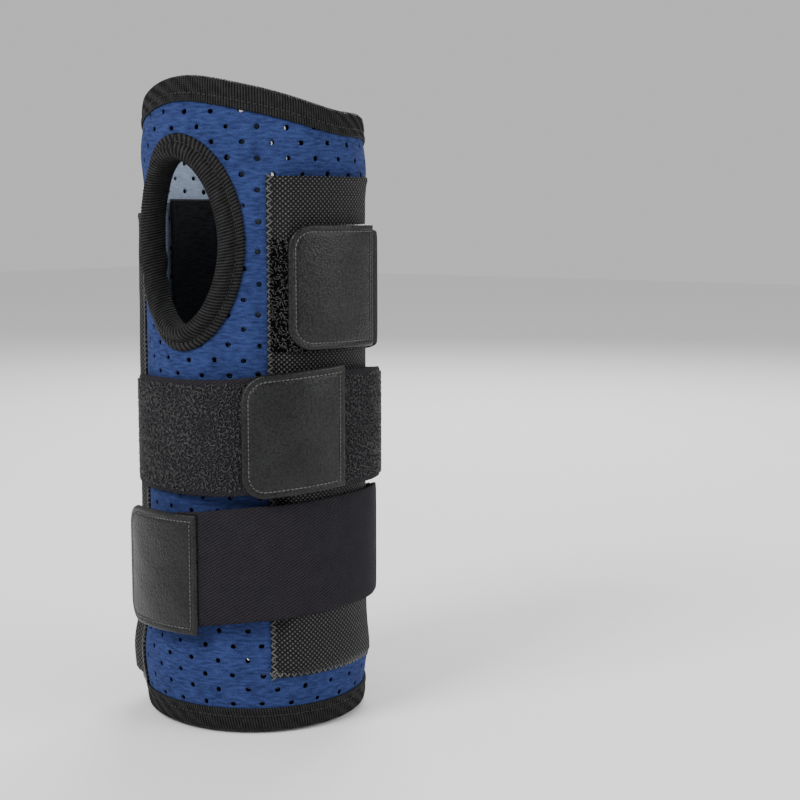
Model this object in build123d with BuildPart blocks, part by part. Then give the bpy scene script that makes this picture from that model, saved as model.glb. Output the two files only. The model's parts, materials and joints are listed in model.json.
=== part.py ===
from build123d import *
from dataclasses import dataclass
from math import asin, cos, degrees, hypot, radians, sin
import os

# A wrist splint: a perforated foam sleeve with a thumb hole and a slit, closed by three straps
# that turn back through D-rings, and stiffened by two stays that slide out of their pockets.
#
# Millimetres. +Z runs along the forearm towards the hand, and the thumb hole faces -Y.
# An angle called phi is measured round the sleeve, from the thumb hole towards +X.
# The sleeve's axis stands here, so that the whole splint is centred over the origin.
AXIS_X = 0.16
AXIS_Y = -0.37

# Sleeve: three layers, from the outside in
CROWN_Z = 203.8
SLEEVE_R = 35.2
FABRIC_T = 0.6
FOAM_T = 2.4
LINER_T = 0.6

# Binding tape
BINDING_T = 0.8
BINDING_W = 8.0
THUMB_BEAD_T = 2.0

# Hand-end rim: (phi, drop below the crown), from one side of the slit round to the other
RIM = [
    (217.5, 46.5), (208, 36.0), (199, 28.5), (182, 22.5), (160, 15.5), (120, 10.5), (85, 9.5),
    (40, 3.5), (-3, 0.0), (-50, 6.5), (-70, 10.0), (-103, 13.5), (-121, 22.5), (-132, 34.5),
    (-142.5, 46.5),
]

# Slit: the two flap edges at the foot of the V and at the bottom, and the flap corners
SLIT_PHI = 225
SLIT_TOP_DROP = 43.5
SLIT_TOP = (214, 221)
SLIT_FOOT = (232, 236)
FLAP_CORNER_R = (11, 16)
SLIT_OVERLAP = 1.0

# Thumb hole, measured inside its binding
THUMB_DROP = 50.7
THUMB_HALF_W = 13.2
THUMB_HALF_H = 25.2

# Thumb pad and tongue
PAD_T = 2.0
PAD_PHI = (-14, 53)
PAD_DROP = 78
TONGUE_T = 1.2
TONGUE_PHI = (192, 288)
TONGUE_DROP = 37
TONGUE_FOOT_Z = 10

# Stay pockets: (phi, half width, sideways lean of the foot, drop of the mouth, foot height)
POCKET_T = 0.7
POCKET_SEAM = 3.0
PALMAR = (80, 21.5, 0.0, 30.5, 18.0)
DORSAL = (-83, 21.5, 5.5, 41.5, 8.8)

# Stays
STAY_T = 1.4
STAY_W = 24.0
STAY_END_R = 8.0
STAY_GAP = 0.3

# Loop pile on the palmar pocket and beside the slit
PILE_T = 0.85
PATCH_PHI = (47, 103)
PATCH_Z = (120.3, 154.3)
STRIP_PHI = 180
STRIP_TOP_DROP = 32.5
STRIP_TOP = (-24.4, 5.9)
STRIP_FOOT = (4.0, 24.9)
STRIP_FOOT_Z = 10

# Straps, D-rings and their tabs. The outer straps stand off the middle one by a ring's height,
# less what their slants bring the rings apart.
MIDDLE_Z = 89.0
UPPER_NEST = 2.2
LOWER_NEST = 1.5
STRAP_T = 1.1
STRAP_W = 38.0
STRAP_GAP = 0.3
TURN_GAP = 0.15
ROOT_PHI = 118
ROOT_L = 6.0
RING_WIRE = 2.6
RING_SLACK = 0.6
RING_SPAN = 9.2
RING_END_GAP = 1.15
RING_CORNER_R = 2.5
RING_TAB_T = 1.0
RING_TAB_W = 35.0
RING_TAB_GAP = 0.3
RING_TAB_LANDING = 1.6
LEATHER_T = 1.1
HOOK_T = 0.95
TAB_L = 34.0
TAB_CORNER_R = 7.5
TAB_OVERLAP = 8.0
HOOK_MARGIN = 2.5

SEAM_GAP = 0.02      # between layers sewn face to face
AROUND = 60          # farther out than any piece
UNDER = 16           # farther down than any piece

# Worked out from the sizes above
FOAM_R = SLEEVE_R - FABRIC_T
LINER_R = FOAM_R - FOAM_T
INNER_R = LINER_R - LINER_T
BINDING_R = SLEEVE_R + BINDING_T
BINDING_INNER_R = INNER_R - BINDING_T
TONGUE_R = BINDING_INNER_R - STAY_GAP
STAY_R = BINDING_R + STAY_GAP
CAVITY_R = STAY_R + STAY_T + STAY_GAP
POCKET_R = CAVITY_R + POCKET_T
PATCH_R = POCKET_R + PILE_T
FIRST_R = BINDING_R + STRAP_GAP
STRIP_R = FIRST_R + STRAP_T + TURN_GAP + PILE_T
FOLD_R = RING_WIRE / 2 + RING_SLACK + STRAP_T / 2
RING_R = FIRST_R + STRAP_T / 2 + FOLD_R
RING_H = STRAP_W + 2 * (RING_WIRE + RING_END_GAP)
TAB_FOLD_R = RING_WIRE / 2 + RING_TAB_GAP + RING_TAB_T / 2


@dataclass
class Strap:
    """One strap: where its ring bar and tab root stand, and the slanting plane that it follows."""

    name: str
    bar_phi: float
    ring_tab_end: float
    tab_phi: float
    turns: int
    mid_z: float
    rise: float
    low_phi: float

    @property
    def leg_phi(self):
        """Where the ring's anchored leg stands."""
        return self.bar_phi + degrees(RING_SPAN / RING_R)

    def height(self, phi):
        """Height of the strap's centre line at phi."""
        return self.mid_z - self.rise * cos(radians(phi - self.low_phi))


STRAPS = [
    Strap("upper", 212.5, 241.5, 100.5, 0, MIDDLE_Z + RING_H - UPPER_NEST, 7.5, 260),
    Strap("middle", 221.0, 244.5, 80, 1, MIDDLE_Z, 7.6, 230),
    Strap("lower", 223.5, 247.5, 13, 0, MIDDLE_Z - RING_H + LOWER_NEST, 9.8, 238),
]


def direction(phi):
    """Unit vector pointing outwards at phi, in plan."""
    return sin(radians(phi)), -cos(radians(phi))


def level(z):
    """The horizontal plane at a height, centred on the sleeve's axis."""
    return Plane(origin=(AXIS_X, AXIS_Y, z))


def facing(phi):
    """The upright plane through the sleeve's axis that faces outwards at phi."""
    out_x, out_y = direction(phi)
    return Plane(origin=(AXIS_X, AXIS_Y, 0), x_dir=(-out_y, out_x, 0), z_dir=(out_x, out_y, 0))


def arc_degrees(length, radius):
    """The angle that a length takes up on a radius."""
    return degrees(length / radius)


def sector(centre, r_in, r_out, start, size):
    """Edges of a piece of a ring in plan; angles from +X."""
    with BuildLine() as edges:
        outer = CenterArc(centre, r_out, start, size)
        inner = CenterArc(centre, r_in, start, size)
        Line(outer @ 0, inner @ 0)
        Line(outer @ 1, inner @ 1)
    return edges.edges()


def curved_panel(r_in, r_out, phi_range, z_range):
    """A curved plate standing round the sleeve, between two angles and two heights."""
    phi_a, phi_b = phi_range
    with BuildPart() as panel:
        with BuildSketch(level(z_range[0])):
            make_face(sector((0, 0), r_in, r_out, phi_a - 90, phi_b - phi_a))
        extrude(amount=z_range[1] - z_range[0])
    return panel.part


def tube(r_in, r_out):
    """A plain tube, taller than the sleeve."""
    with BuildPart() as wall:
        with BuildSketch(level(0)):
            Circle(r_out)
            Circle(r_in, mode=Mode.SUBTRACT)
        extrude(amount=CROWN_Z + BINDING_W)
    return wall.part


def offset_rim(margin):
    """The rim moved into the sleeve by a margin, square to itself, as (phi, z)."""
    flat = [(radians(phi) * SLEEVE_R, CROWN_Z - drop) for phi, drop in RIM]
    moved = []
    for i, (s, z) in enumerate(flat):
        before = flat[max(i - 1, 0)]
        after = flat[min(i + 1, len(flat) - 1)]
        along, up = after[0] - before[0], after[1] - before[1]
        length = hypot(along, up)
        moved.append((degrees((s - margin * up / length) / SLEEVE_R), z + margin * along / length))
    return moved


def above_rim(margin):
    """Everything above the rim, moved into the sleeve by a margin."""
    with BuildPart() as tool:
        curves = []
        for radius in (INNER_R / 2, AROUND):
            points = []
            for phi, z in offset_rim(margin):
                out_x, out_y = direction(phi)
                points.append((AXIS_X + radius * out_x, AXIS_Y + radius * out_y, z))
            with BuildLine(mode=Mode.PRIVATE) as curve:
                Spline(points)
            curves.append(curve.edges()[0])
        extrude(Face.make_surface_from_curves(*curves), amount=CROWN_Z, dir=(0, 0, 1))
    return tool.part


def slit_tool(margin):
    """The slit, the rounded flap corners and the space below, grown by a margin."""
    left_top, right_top = (SLEEVE_R * sin(radians(phi - SLIT_PHI)) for phi in SLIT_TOP)
    left_foot, right_foot = (SLEEVE_R * sin(radians(phi - SLIT_PHI)) for phi in SLIT_FOOT)
    top_z = CROWN_Z - SLIT_TOP_DROP
    with BuildPart() as tool:
        with BuildSketch(facing(SLIT_PHI)):
            with BuildLine():
                FilletPolyline(
                    (left_top, top_z + SLIT_OVERLAP), (left_top, top_z), (left_foot, 0),
                    (-AROUND / 2, 0), (-AROUND / 2, -UNDER),
                    (AROUND / 2, -UNDER), (AROUND / 2, 0), (right_foot, 0),
                    (right_top, top_z), (right_top, top_z + SLIT_OVERLAP),
                    radius=[0, 0, FLAP_CORNER_R[0], 0, 0, 0, 0, FLAP_CORNER_R[1], 0, 0],
                    close=True,
                )
            make_face()
            if margin > 0:
                offset(amount=margin, kind=Kind.ARC)
            with Locations(((left_top + right_top) / 2, top_z)):
                Rectangle(
                    right_top - left_top + 2 * min(margin, BINDING_T), CROWN_Z,
                    align=(Align.CENTER, Align.MIN),
                )
        extrude(amount=AROUND)
    return tool.part


def open_edges(margin):
    """All that lies outside the sleeve's cut edges, grown by a margin."""
    with BuildPart() as tool:
        add(above_rim(margin))
        add(slit_tool(margin))
        with BuildSketch(level(-BINDING_W)):
            Circle(AROUND)
        extrude(amount=BINDING_W + margin)
    return tool.part


def thumb_tool(margin):
    """The thumb hole, grown by a margin."""
    with BuildPart() as tool:
        with BuildSketch(facing(0)):
            with Locations((0, CROWN_Z - THUMB_DROP)):
                Ellipse(THUMB_HALF_W + margin, THUMB_HALF_H + margin)
        extrude(amount=AROUND)
    return tool.part


def strap_slab(strap, width):
    """The slanting slice of space that a strap of this width runs in."""
    slope = strap.rise / RING_R
    out_x, out_y = direction(strap.low_phi)
    origin = (AXIS_X, AXIS_Y, strap.mid_z)
    with BuildPart() as slab:
        with BuildSketch(Plane(origin=origin, z_dir=(slope * out_x, slope * out_y, 1))):
            Circle(AROUND)
        extrude(amount=width / 2, both=True)
    return slab.part


def turn(strap, r_near, r_far):
    """Centre and radius of a half turn, r_near off the axis at the ring and r_far opposite."""
    shift = (r_near - r_far) / 2
    out_x, out_y = direction(strap.bar_phi)
    return (shift * out_x, shift * out_y), (r_near + r_far) / 2


EDGE_ZONES = {margin: open_edges(margin) for margin in (0, BINDING_T, BINDING_W)}
SEWN_ZONE = open_edges(BINDING_W + STRAP_GAP)
THUMB_ZONES = {margin: thumb_tool(margin) for margin in (0, BINDING_T, BINDING_W)}
THUMB_SEWN_ZONE = thumb_tool(BINDING_W + STRAP_GAP)


# Sleeve layers, all cut to the same outline
def sleeve_layer(r_in, r_out):
    """One layer of the sleeve, stopping inside the binding's fold."""
    with BuildPart() as layer:
        add(tube(r_in, r_out))
        add(EDGE_ZONES[BINDING_T], mode=Mode.SUBTRACT)
        add(THUMB_ZONES[BINDING_T], mode=Mode.SUBTRACT)
    return layer.part


with BuildPart() as outer_fabric:
    add(sleeve_layer(FOAM_R, SLEEVE_R))

with BuildPart() as foam_core:
    add(sleeve_layer(LINER_R, FOAM_R))

with BuildPart() as liner:
    add(sleeve_layer(INNER_R, LINER_R))

# Binding: a folded tape that wraps every cut edge of the sleeve
with BuildPart() as edge_binding:
    add(tube(BINDING_INNER_R, BINDING_R))
    add(EDGE_ZONES[BINDING_W], mode=Mode.INTERSECT)
    add(EDGE_ZONES[0], mode=Mode.SUBTRACT)
    with BuildPart(mode=Mode.PRIVATE) as wrapped_edge:
        add(tube(INNER_R, SLEEVE_R))
        add(EDGE_ZONES[BINDING_T], mode=Mode.SUBTRACT)
    add(wrapped_edge.part, mode=Mode.SUBTRACT)

with BuildPart() as thumb_binding:
    add(tube(BINDING_INNER_R, BINDING_R + THUMB_BEAD_T))
    add(THUMB_ZONES[BINDING_W], mode=Mode.INTERSECT)
    add(THUMB_ZONES[0], mode=Mode.SUBTRACT)
    with BuildPart(mode=Mode.PRIVATE) as wrapped_hole:
        add(tube(INNER_R, SLEEVE_R))
        add(THUMB_ZONES[BINDING_T], mode=Mode.SUBTRACT)
    add(wrapped_hole.part, mode=Mode.SUBTRACT)

# Soft pieces inside the sleeve
with BuildPart() as thumb_pad:
    pad_z = (CROWN_Z - PAD_DROP, CROWN_Z)
    add(curved_panel(INNER_R - PAD_T, INNER_R - SEAM_GAP, PAD_PHI, pad_z))
    add(SEWN_ZONE, mode=Mode.SUBTRACT)
    add(THUMB_SEWN_ZONE, mode=Mode.SUBTRACT)

with BuildPart() as tongue:
    tongue_z = (TONGUE_FOOT_Z, CROWN_Z - TONGUE_DROP)
    add(curved_panel(TONGUE_R - TONGUE_T, TONGUE_R, TONGUE_PHI, tongue_z))


def pocket_outline(pocket, inset, open_top):
    """The space behind a pocket's outline, which leans a little with the forearm."""
    phi, half_w, lean, drop, foot_z = pocket
    side, foot, top_z = half_w - inset, foot_z + inset, CROWN_Z - drop
    if open_top:
        top_z += BINDING_W
    with BuildPart() as tool:
        with BuildSketch(facing(phi)):
            Polygon(
                (-side, top_z), (-side + lean, foot), (side + lean, foot), (side, top_z), align=None
            )
        extrude(amount=AROUND)
    return tool.part


def stay_pocket(pocket):
    """A webbing pocket sewn down on three sides, with its mouth towards the hand."""
    with BuildPart() as cover:
        add(tube(SLEEVE_R + SEAM_GAP, POCKET_R))
        add(pocket_outline(pocket, 0, False), mode=Mode.INTERSECT)
        with BuildPart(mode=Mode.PRIVATE) as cavity:
            add(tube(SLEEVE_R, CAVITY_R))
            add(pocket_outline(pocket, POCKET_SEAM, True), mode=Mode.INTERSECT)
        add(cavity.part, mode=Mode.SUBTRACT)
    return cover.part


def stay(pocket):
    """An aluminium stay, bent to the sleeve, with rounded ends."""
    phi, _, lean, drop, foot_z = pocket
    foot = foot_z + POCKET_SEAM + STAY_GAP
    length = CROWN_Z - drop - POCKET_SEAM - foot
    with BuildPart() as blade:
        with BuildSketch(facing(phi)):
            with Locations((lean / 2, foot + length / 2)):
                RectangleRounded(STAY_W, length, STAY_END_R)
        extrude(amount=AROUND)
        add(tube(STAY_R, STAY_R + STAY_T), mode=Mode.INTERSECT)
    return blade.part


with BuildPart() as palmar_pocket:
    add(stay_pocket(PALMAR))

with BuildPart() as dorsal_pocket:
    add(stay_pocket(DORSAL))
    add(SEWN_ZONE, mode=Mode.SUBTRACT)

with BuildPart() as palmar_stay:
    add(stay(PALMAR))

with BuildPart() as dorsal_stay:
    add(stay(DORSAL))

# Loop pile that the hooks hold
with BuildPart() as pocket_loop_patch:
    add(curved_panel(POCKET_R + SEAM_GAP, PATCH_R, PATCH_PHI, PATCH_Z))

with BuildPart() as loop_strip:
    with BuildSketch(facing(STRIP_PHI)):
        strip_top = CROWN_Z - STRIP_TOP_DROP
        Polygon(
            (STRIP_TOP[0], strip_top), (STRIP_FOOT[0], STRIP_FOOT_Z),
            (STRIP_FOOT[1], STRIP_FOOT_Z), (STRIP_TOP[1], strip_top), align=None,
        )
    extrude(amount=AROUND)
    add(tube(SLEEVE_R + SEAM_GAP, STRIP_R), mode=Mode.INTERSECT)
    add(SEWN_ZONE, mode=Mode.SUBTRACT)
    for strap in STRAPS:
        with BuildPart(mode=Mode.PRIVATE) as tunnel:
            add(tube(SLEEVE_R, STRIP_R - PILE_T))
            add(strap_slab(strap, STRAP_W + 2 * TURN_GAP), mode=Mode.INTERSECT)
        add(tunnel.part, mode=Mode.SUBTRACT)


# Straps: sewn down beside the palmar pocket, out through the ring, then back round the sleeve
def strap_turns(strap):
    """The returning half turns, as (centre, radius of the centre line, phi at the end)."""
    near = RING_R + FOLD_R
    far = PATCH_R + STRAP_GAP + STRAP_T / 2
    pitch = STRAP_T + TURN_GAP
    if not strap.turns:
        far += STRAP_GAP
        return [(*turn(strap, near, far), strap.tab_phi)]
    return [
        (*turn(strap, near, far), strap.bar_phi - 180),
        (*turn(strap, near + pitch, far), strap.bar_phi - 360),
        (*turn(strap, near + pitch, far + pitch), strap.tab_phi - 360),
    ]


def strap_body(strap):
    """The elastic strap, from its sewn root to its end under the leather."""
    half = STRAP_T / 2
    r_out = FIRST_R + STRAP_T
    root = arc_degrees(ROOT_L, SLEEVE_R)
    root_end = ROOT_PHI + root
    out_x, out_y = direction(strap.bar_phi)
    bar = (RING_R * out_x, RING_R * out_y)
    with BuildPart() as band:
        with BuildSketch(level(0)):
            make_face(sector((0, 0), SLEEVE_R + SEAM_GAP, r_out, ROOT_PHI - 90, root))
            make_face(sector((0, 0), FIRST_R, r_out, root_end - 90, strap.bar_phi - root_end))
            make_face(sector(bar, FOLD_R - half, FOLD_R + half, strap.bar_phi - 90, 180))
            start = strap.bar_phi
            for centre, radius, end in strap_turns(strap):
                if end == strap_turns(strap)[-1][2]:
                    end -= arc_degrees(TAB_OVERLAP, radius)
                make_face(sector(centre, radius - half, radius + half, end - 90, start - end))
                start = end
        extrude(amount=CROWN_Z)
        add(strap_slab(strap, STRAP_W), mode=Mode.INTERSECT)
    return band.part


def tab_span(strap):
    """The angle that a pull tab's middle faces, and half its width as seen from there."""
    half_arc = arc_degrees(TAB_L, RING_R + FOLD_R) / 2
    return strap.tab_phi - half_arc, (RING_R + FOLD_R) * sin(radians(half_arc))


def tab_outline(strap, inset, root_inset):
    """The space behind a pull tab's outline: square at its root, rounded at its tip."""
    phi_mid, half_w = tab_span(strap)
    half_h = STRAP_W / 2 - inset
    mid_z = strap.height(phi_mid)
    with BuildPart() as tool:
        with BuildSketch(facing(phi_mid)):
            with BuildLine():
                FilletPolyline(
                    (half_w - root_inset, mid_z - half_h), (half_w - root_inset, mid_z + half_h),
                    (inset - half_w, mid_z + half_h), (inset - half_w, mid_z - half_h),
                    radius=[0, 0, TAB_CORNER_R - inset, TAB_CORNER_R - inset], close=True,
                )
            make_face()
        extrude(amount=AROUND)
    return tool.part


def tab_layer(strap, r_shift, thickness, inset, root_inset):
    """One layer of a pull tab, following the strap's last turn."""
    centre, radius, _ = strap_turns(strap)[-1]
    r_in = radius + STRAP_T / 2 + r_shift
    with BuildPart() as layer:
        with BuildSketch(level(0)):
            with Locations(centre):
                Circle(r_in + thickness)
                Circle(r_in, mode=Mode.SUBTRACT)
        extrude(amount=CROWN_Z)
        add(tab_outline(strap, inset, root_inset), mode=Mode.INTERSECT)
    return layer.part


# D-rings: a wire bent to a long loop; the strap runs round one leg, the tab holds the other
def ring(strap):
    """The wire ring, standing across the strap."""
    half_angle = arc_degrees(RING_SPAN, RING_R) / 2
    mid_phi = strap.bar_phi + half_angle
    mid_z = strap.height(strap.bar_phi)
    half_w = RING_R * sin(radians(half_angle))
    half_h = (RING_H - RING_WIRE) / 2
    plane = facing(mid_phi).offset(RING_R * cos(radians(half_angle)))
    with BuildPart() as loop:
        with BuildLine(plane) as wire:
            FilletPolyline(
                (-half_w, mid_z - half_h), (half_w, mid_z - half_h),
                (half_w, mid_z + half_h), (-half_w, mid_z + half_h),
                radius=RING_CORNER_R, close=True,
            )
        with BuildSketch(Plane(origin=wire.line @ 0, z_dir=wire.line % 0)):
            Circle(RING_WIRE / 2)
        sweep()
    return loop.part


def ring_tab(strap):
    """The webbing loop that anchors a ring: two plies round its leg, sewn down behind it."""
    half = RING_TAB_T / 2
    leg, end = strap.leg_phi, strap.ring_tab_end
    inner = RING_R - TAB_FOLD_R
    outer = RING_R + TAB_FOLD_R
    ply_top = inner + half + RING_TAB_T
    landing = end - arc_degrees(RING_TAB_LANDING, RING_R)
    out_x, out_y = direction(leg)
    land_x, land_y = direction(landing)
    bar = (RING_R * out_x, RING_R * out_y)
    with BuildPart() as loop:
        with BuildSketch(level(strap.height(strap.bar_phi) - RING_TAB_W / 2)):
            make_face(sector((0, 0), inner - half, inner + half, leg - 90, end - leg))
            make_face(sector(bar, TAB_FOLD_R - half, TAB_FOLD_R + half, leg + 90, 180))
            with BuildLine():
                Polyline(
                    ((outer - half) * out_x, (outer - half) * out_y),
                    ((outer + half) * out_x, (outer + half) * out_y),
                    (ply_top * land_x, ply_top * land_y),
                    ((inner + half) * land_x, (inner + half) * land_y),
                    close=True,
                )
            make_face()
            make_face(sector((0, 0), BINDING_R + SEAM_GAP, ply_top, landing - 90, end - landing))
        extrude(amount=RING_TAB_W)
    return loop.part


def pull_tab(strap):
    """The leather pull tab."""
    return tab_layer(strap, TURN_GAP, LEATHER_T, 0, 0)


def hook_patch(strap):
    """The hook patch under the leather, just past the strap's end."""
    root_inset = TAB_OVERLAP + STRAP_GAP
    return tab_layer(strap, TURN_GAP - HOOK_T, HOOK_T - SEAM_GAP, HOOK_MARGIN, root_inset)


def tab_hinge(strap):
    """The inner corner of a pull tab's root, where it folds back."""
    (centre_x, centre_y), radius, _ = strap_turns(strap)[-1]
    phi_mid, half_w = tab_span(strap)
    along_x, along_y = direction(phi_mid + 90)
    r_in = radius + STRAP_T / 2 + TURN_GAP
    reach = half_w - centre_x * along_x - centre_y * along_y
    out_x, out_y = direction(phi_mid + degrees(asin(reach / r_in)))
    return centre_x + r_in * out_x + AXIS_X, centre_y + r_in * out_y + AXIS_Y


upper, middle, lower = STRAPS

with BuildPart() as strap_upper:
    add(strap_body(upper))

with BuildPart() as strap_middle:
    add(strap_body(middle))

with BuildPart() as strap_lower:
    add(strap_body(lower))

with BuildPart() as tab_upper:
    add(pull_tab(upper))

with BuildPart() as tab_middle:
    add(pull_tab(middle))

with BuildPart() as tab_lower:
    add(pull_tab(lower))

with BuildPart() as hook_upper:
    add(hook_patch(upper))

with BuildPart() as hook_middle:
    add(hook_patch(middle))

with BuildPart() as hook_lower:
    add(hook_patch(lower))

with BuildPart() as d_ring_upper:
    add(ring(upper))

with BuildPart() as d_ring_middle:
    add(ring(middle))

with BuildPart() as d_ring_lower:
    add(ring(lower))

with BuildPart() as ring_tab_upper:
    add(ring_tab(upper))

with BuildPart() as ring_tab_middle:
    add(ring_tab(middle))

with BuildPart() as ring_tab_lower:
    add(ring_tab(lower))

pieces = {
    "outer_fabric": outer_fabric, "foam_core": foam_core, "liner": liner,
    "edge_binding": edge_binding, "thumb_binding": thumb_binding,
    "thumb_pad": thumb_pad, "tongue": tongue,
    "palmar_pocket": palmar_pocket, "dorsal_pocket": dorsal_pocket,
    "palmar_stay": palmar_stay, "dorsal_stay": dorsal_stay,
    "pocket_loop_patch": pocket_loop_patch, "loop_strip": loop_strip,
    "strap_upper": strap_upper, "strap_middle": strap_middle, "strap_lower": strap_lower,
    "tab_upper": tab_upper, "tab_middle": tab_middle, "tab_lower": tab_lower,
    "hook_upper": hook_upper, "hook_middle": hook_middle, "hook_lower": hook_lower,
    "d_ring_upper": d_ring_upper, "d_ring_middle": d_ring_middle, "d_ring_lower": d_ring_lower,
    "ring_tab_upper": ring_tab_upper, "ring_tab_middle": ring_tab_middle,
    "ring_tab_lower": ring_tab_lower,
}

os.makedirs("parts", exist_ok=True)
for name, piece in pieces.items():
    piece.part.label = name
    export_step(piece.part, f"parts/{name}.step")

# The upright lines that the hinges turn about
for strap in STRAPS:
    hinge_x, hinge_y = tab_hinge(strap)
    leg_x, leg_y = direction(strap.leg_phi)
    ring_x, ring_y = RING_R * leg_x + AXIS_X, RING_R * leg_y + AXIS_Y
    print(f"tab_{strap.name} hinge", hinge_x, hinge_y, strap.height(strap.tab_phi))
    print(f"d_ring_{strap.name} hinge", ring_x, ring_y, strap.height(strap.bar_phi))
whole = Compound([piece.part for piece in pieces.values()]).bounding_box()
print("whole", whole.min, whole.max)
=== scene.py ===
"""The looks of a wrist splint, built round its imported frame.

Sizes in the classes are millimetres about the sleeve's own axis. Angles called phi run round the
sleeve from the thumb hole towards +X, in degrees. Workshop.place turns both into the row frame.
"""
import json
import logging
import math
from dataclasses import dataclass
from enum import Enum
from typing import Callable, Sequence

import bpy
import numpy as np
from mathutils import Matrix, Vector

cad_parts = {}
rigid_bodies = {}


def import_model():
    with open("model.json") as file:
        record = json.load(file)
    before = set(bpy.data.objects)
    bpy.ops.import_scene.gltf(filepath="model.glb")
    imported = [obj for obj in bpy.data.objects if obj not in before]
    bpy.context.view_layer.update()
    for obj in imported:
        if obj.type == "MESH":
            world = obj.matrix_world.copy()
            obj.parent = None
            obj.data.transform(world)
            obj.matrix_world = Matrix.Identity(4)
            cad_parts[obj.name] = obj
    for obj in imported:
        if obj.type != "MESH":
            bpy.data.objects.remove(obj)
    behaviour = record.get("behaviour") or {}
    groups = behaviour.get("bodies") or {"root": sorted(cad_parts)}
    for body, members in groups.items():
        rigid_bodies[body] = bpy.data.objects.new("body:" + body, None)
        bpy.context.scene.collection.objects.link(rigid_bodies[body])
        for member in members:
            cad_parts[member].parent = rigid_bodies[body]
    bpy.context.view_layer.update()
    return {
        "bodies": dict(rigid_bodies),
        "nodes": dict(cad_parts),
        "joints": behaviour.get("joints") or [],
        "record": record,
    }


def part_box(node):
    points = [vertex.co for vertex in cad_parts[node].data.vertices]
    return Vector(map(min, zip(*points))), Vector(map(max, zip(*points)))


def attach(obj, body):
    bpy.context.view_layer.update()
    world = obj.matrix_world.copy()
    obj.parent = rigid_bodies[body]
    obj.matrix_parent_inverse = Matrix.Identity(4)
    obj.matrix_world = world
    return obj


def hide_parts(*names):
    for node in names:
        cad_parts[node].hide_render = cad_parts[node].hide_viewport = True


LOG = logging.getLogger("splint")
MM = 0.001
SKIN_R = 35.24        # the sleeve's face, with a hair's gap under what is sewn on
OVER_R = 38.0         # where panels over the sleeve are measured round it
PANEL_GAP = 8.6       # between a cut edge and a panel beside it, past the binding
PILE_T = 0.55         # the knitted ground under loop pile
PILE_RISE = 0.62      # from what it is sewn to, up to its face
Array = np.ndarray


# --------------------------------------------------------------------------- mesh tools
def direction(phi: float | Array) -> Array:
    """Unit vectors pointing outwards at phi, in plan."""
    angle = np.radians(phi)
    return np.stack([np.sin(angle), -np.cos(angle)], axis=-1)


def polar(phi: Array, radius: Array, z: Array) -> Array:
    """Points round the sleeve.

    Args:
        phi: angles in degrees.
        radius: distances from the axis.
        z: heights.

    Returns:
        An array of points, one row each.
    """
    flat = direction(phi) * np.asarray(radius, float)[..., None]
    return np.concatenate([flat, np.broadcast_to(z, flat.shape[:-1])[..., None]], axis=-1)


def grid_faces(rows: int, cols: int, close_cols: bool = False, close_rows: bool = False) -> Array:
    """Quads over a grid of points stored row by row.

    Args:
        rows: number of rows of points.
        cols: number of points in a row.
        close_cols: join each row's last point to its first.
        close_rows: join the last row to the first.

    Returns:
        One quad of indices per row.
    """
    i = np.arange(rows if close_rows else rows - 1)[:, None]
    j = np.arange(cols if close_cols else cols - 1)[None, :]
    i_next, j_next = (i + 1) % rows, (j + 1) % cols
    quads = [i * cols + j, i * cols + j_next, i_next * cols + j_next, i_next * cols + j]
    return np.stack([np.broadcast_to(q, (i.size, j.size)) for q in quads], -1).reshape(-1, 4)


def resample(points: Array, step: float, closed: bool = False) -> Array:
    """Evenly spaced points along a polyline.

    Args:
        points: the polyline's points.
        step: the spacing wanted; the real one divides the length evenly.
        closed: whether the last point joins the first.

    Returns:
        The new points; a closed line doesn't repeat its first point.
    """
    line = np.vstack([points, points[:1]]) if closed else points
    reach = np.concatenate([[0], np.cumsum(np.linalg.norm(np.diff(line, axis=0), axis=1))])
    count = max(int(round(reach[-1] / step)), 2)
    at = np.linspace(0, reach[-1], count + 1)
    if closed:
        at = at[:-1]
    return np.stack([np.interp(at, reach, line[:, k]) for k in range(line.shape[1])], axis=1)


def smooth_line(points: Array, rounds: int, closed: bool) -> Array:
    """A polyline with its corners eased by averaging neighbours.

    Args:
        points: the polyline's points.
        rounds: how many passes to make.
        closed: whether the line joins up.

    Returns:
        The eased points, as many as before.
    """
    line = points.copy()
    for _ in range(rounds):
        before, after = np.roll(line, 1, axis=0), np.roll(line, -1, axis=0)
        eased = (before + 2 * line + after) / 4
        if not closed:
            eased[0], eased[-1] = line[0], line[-1]
        line = eased
    return line


def catmull(points: Sequence[tuple[float, float]], steps: int) -> Array:
    """A smooth curve through points.

    Args:
        points: the points to pass through.
        steps: samples between two points.

    Returns:
        The curve's points.
    """
    p = np.array([points[0], *points, points[-1]], float)
    t = np.linspace(0, 1, steps, endpoint=False)[:, None]
    runs = []
    for a, b, c, d in zip(p, p[1:], p[2:], p[3:]):
        runs.append(0.5 * (2 * b + (c - a) * t + (2 * a - 5 * b + 4 * c - d) * t**2
                           + (3 * b - a - 3 * c + d) * t**3))
    return np.vstack([*runs, p[-1:]])


def tangents(points: Array, closed: bool = False) -> Array:
    """Unit directions along a polyline, at its points."""
    if closed:
        run = np.roll(points, -1, axis=0) - np.roll(points, 1, axis=0)
    else:
        run = np.gradient(points, axis=0)
    return run / np.maximum(np.linalg.norm(run, axis=1, keepdims=True), 1e-12)


def ease(share: Array) -> Array:
    """A share between 0 and 1, starting and ending gently."""
    return share * share * (3 - 2 * share)


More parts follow.
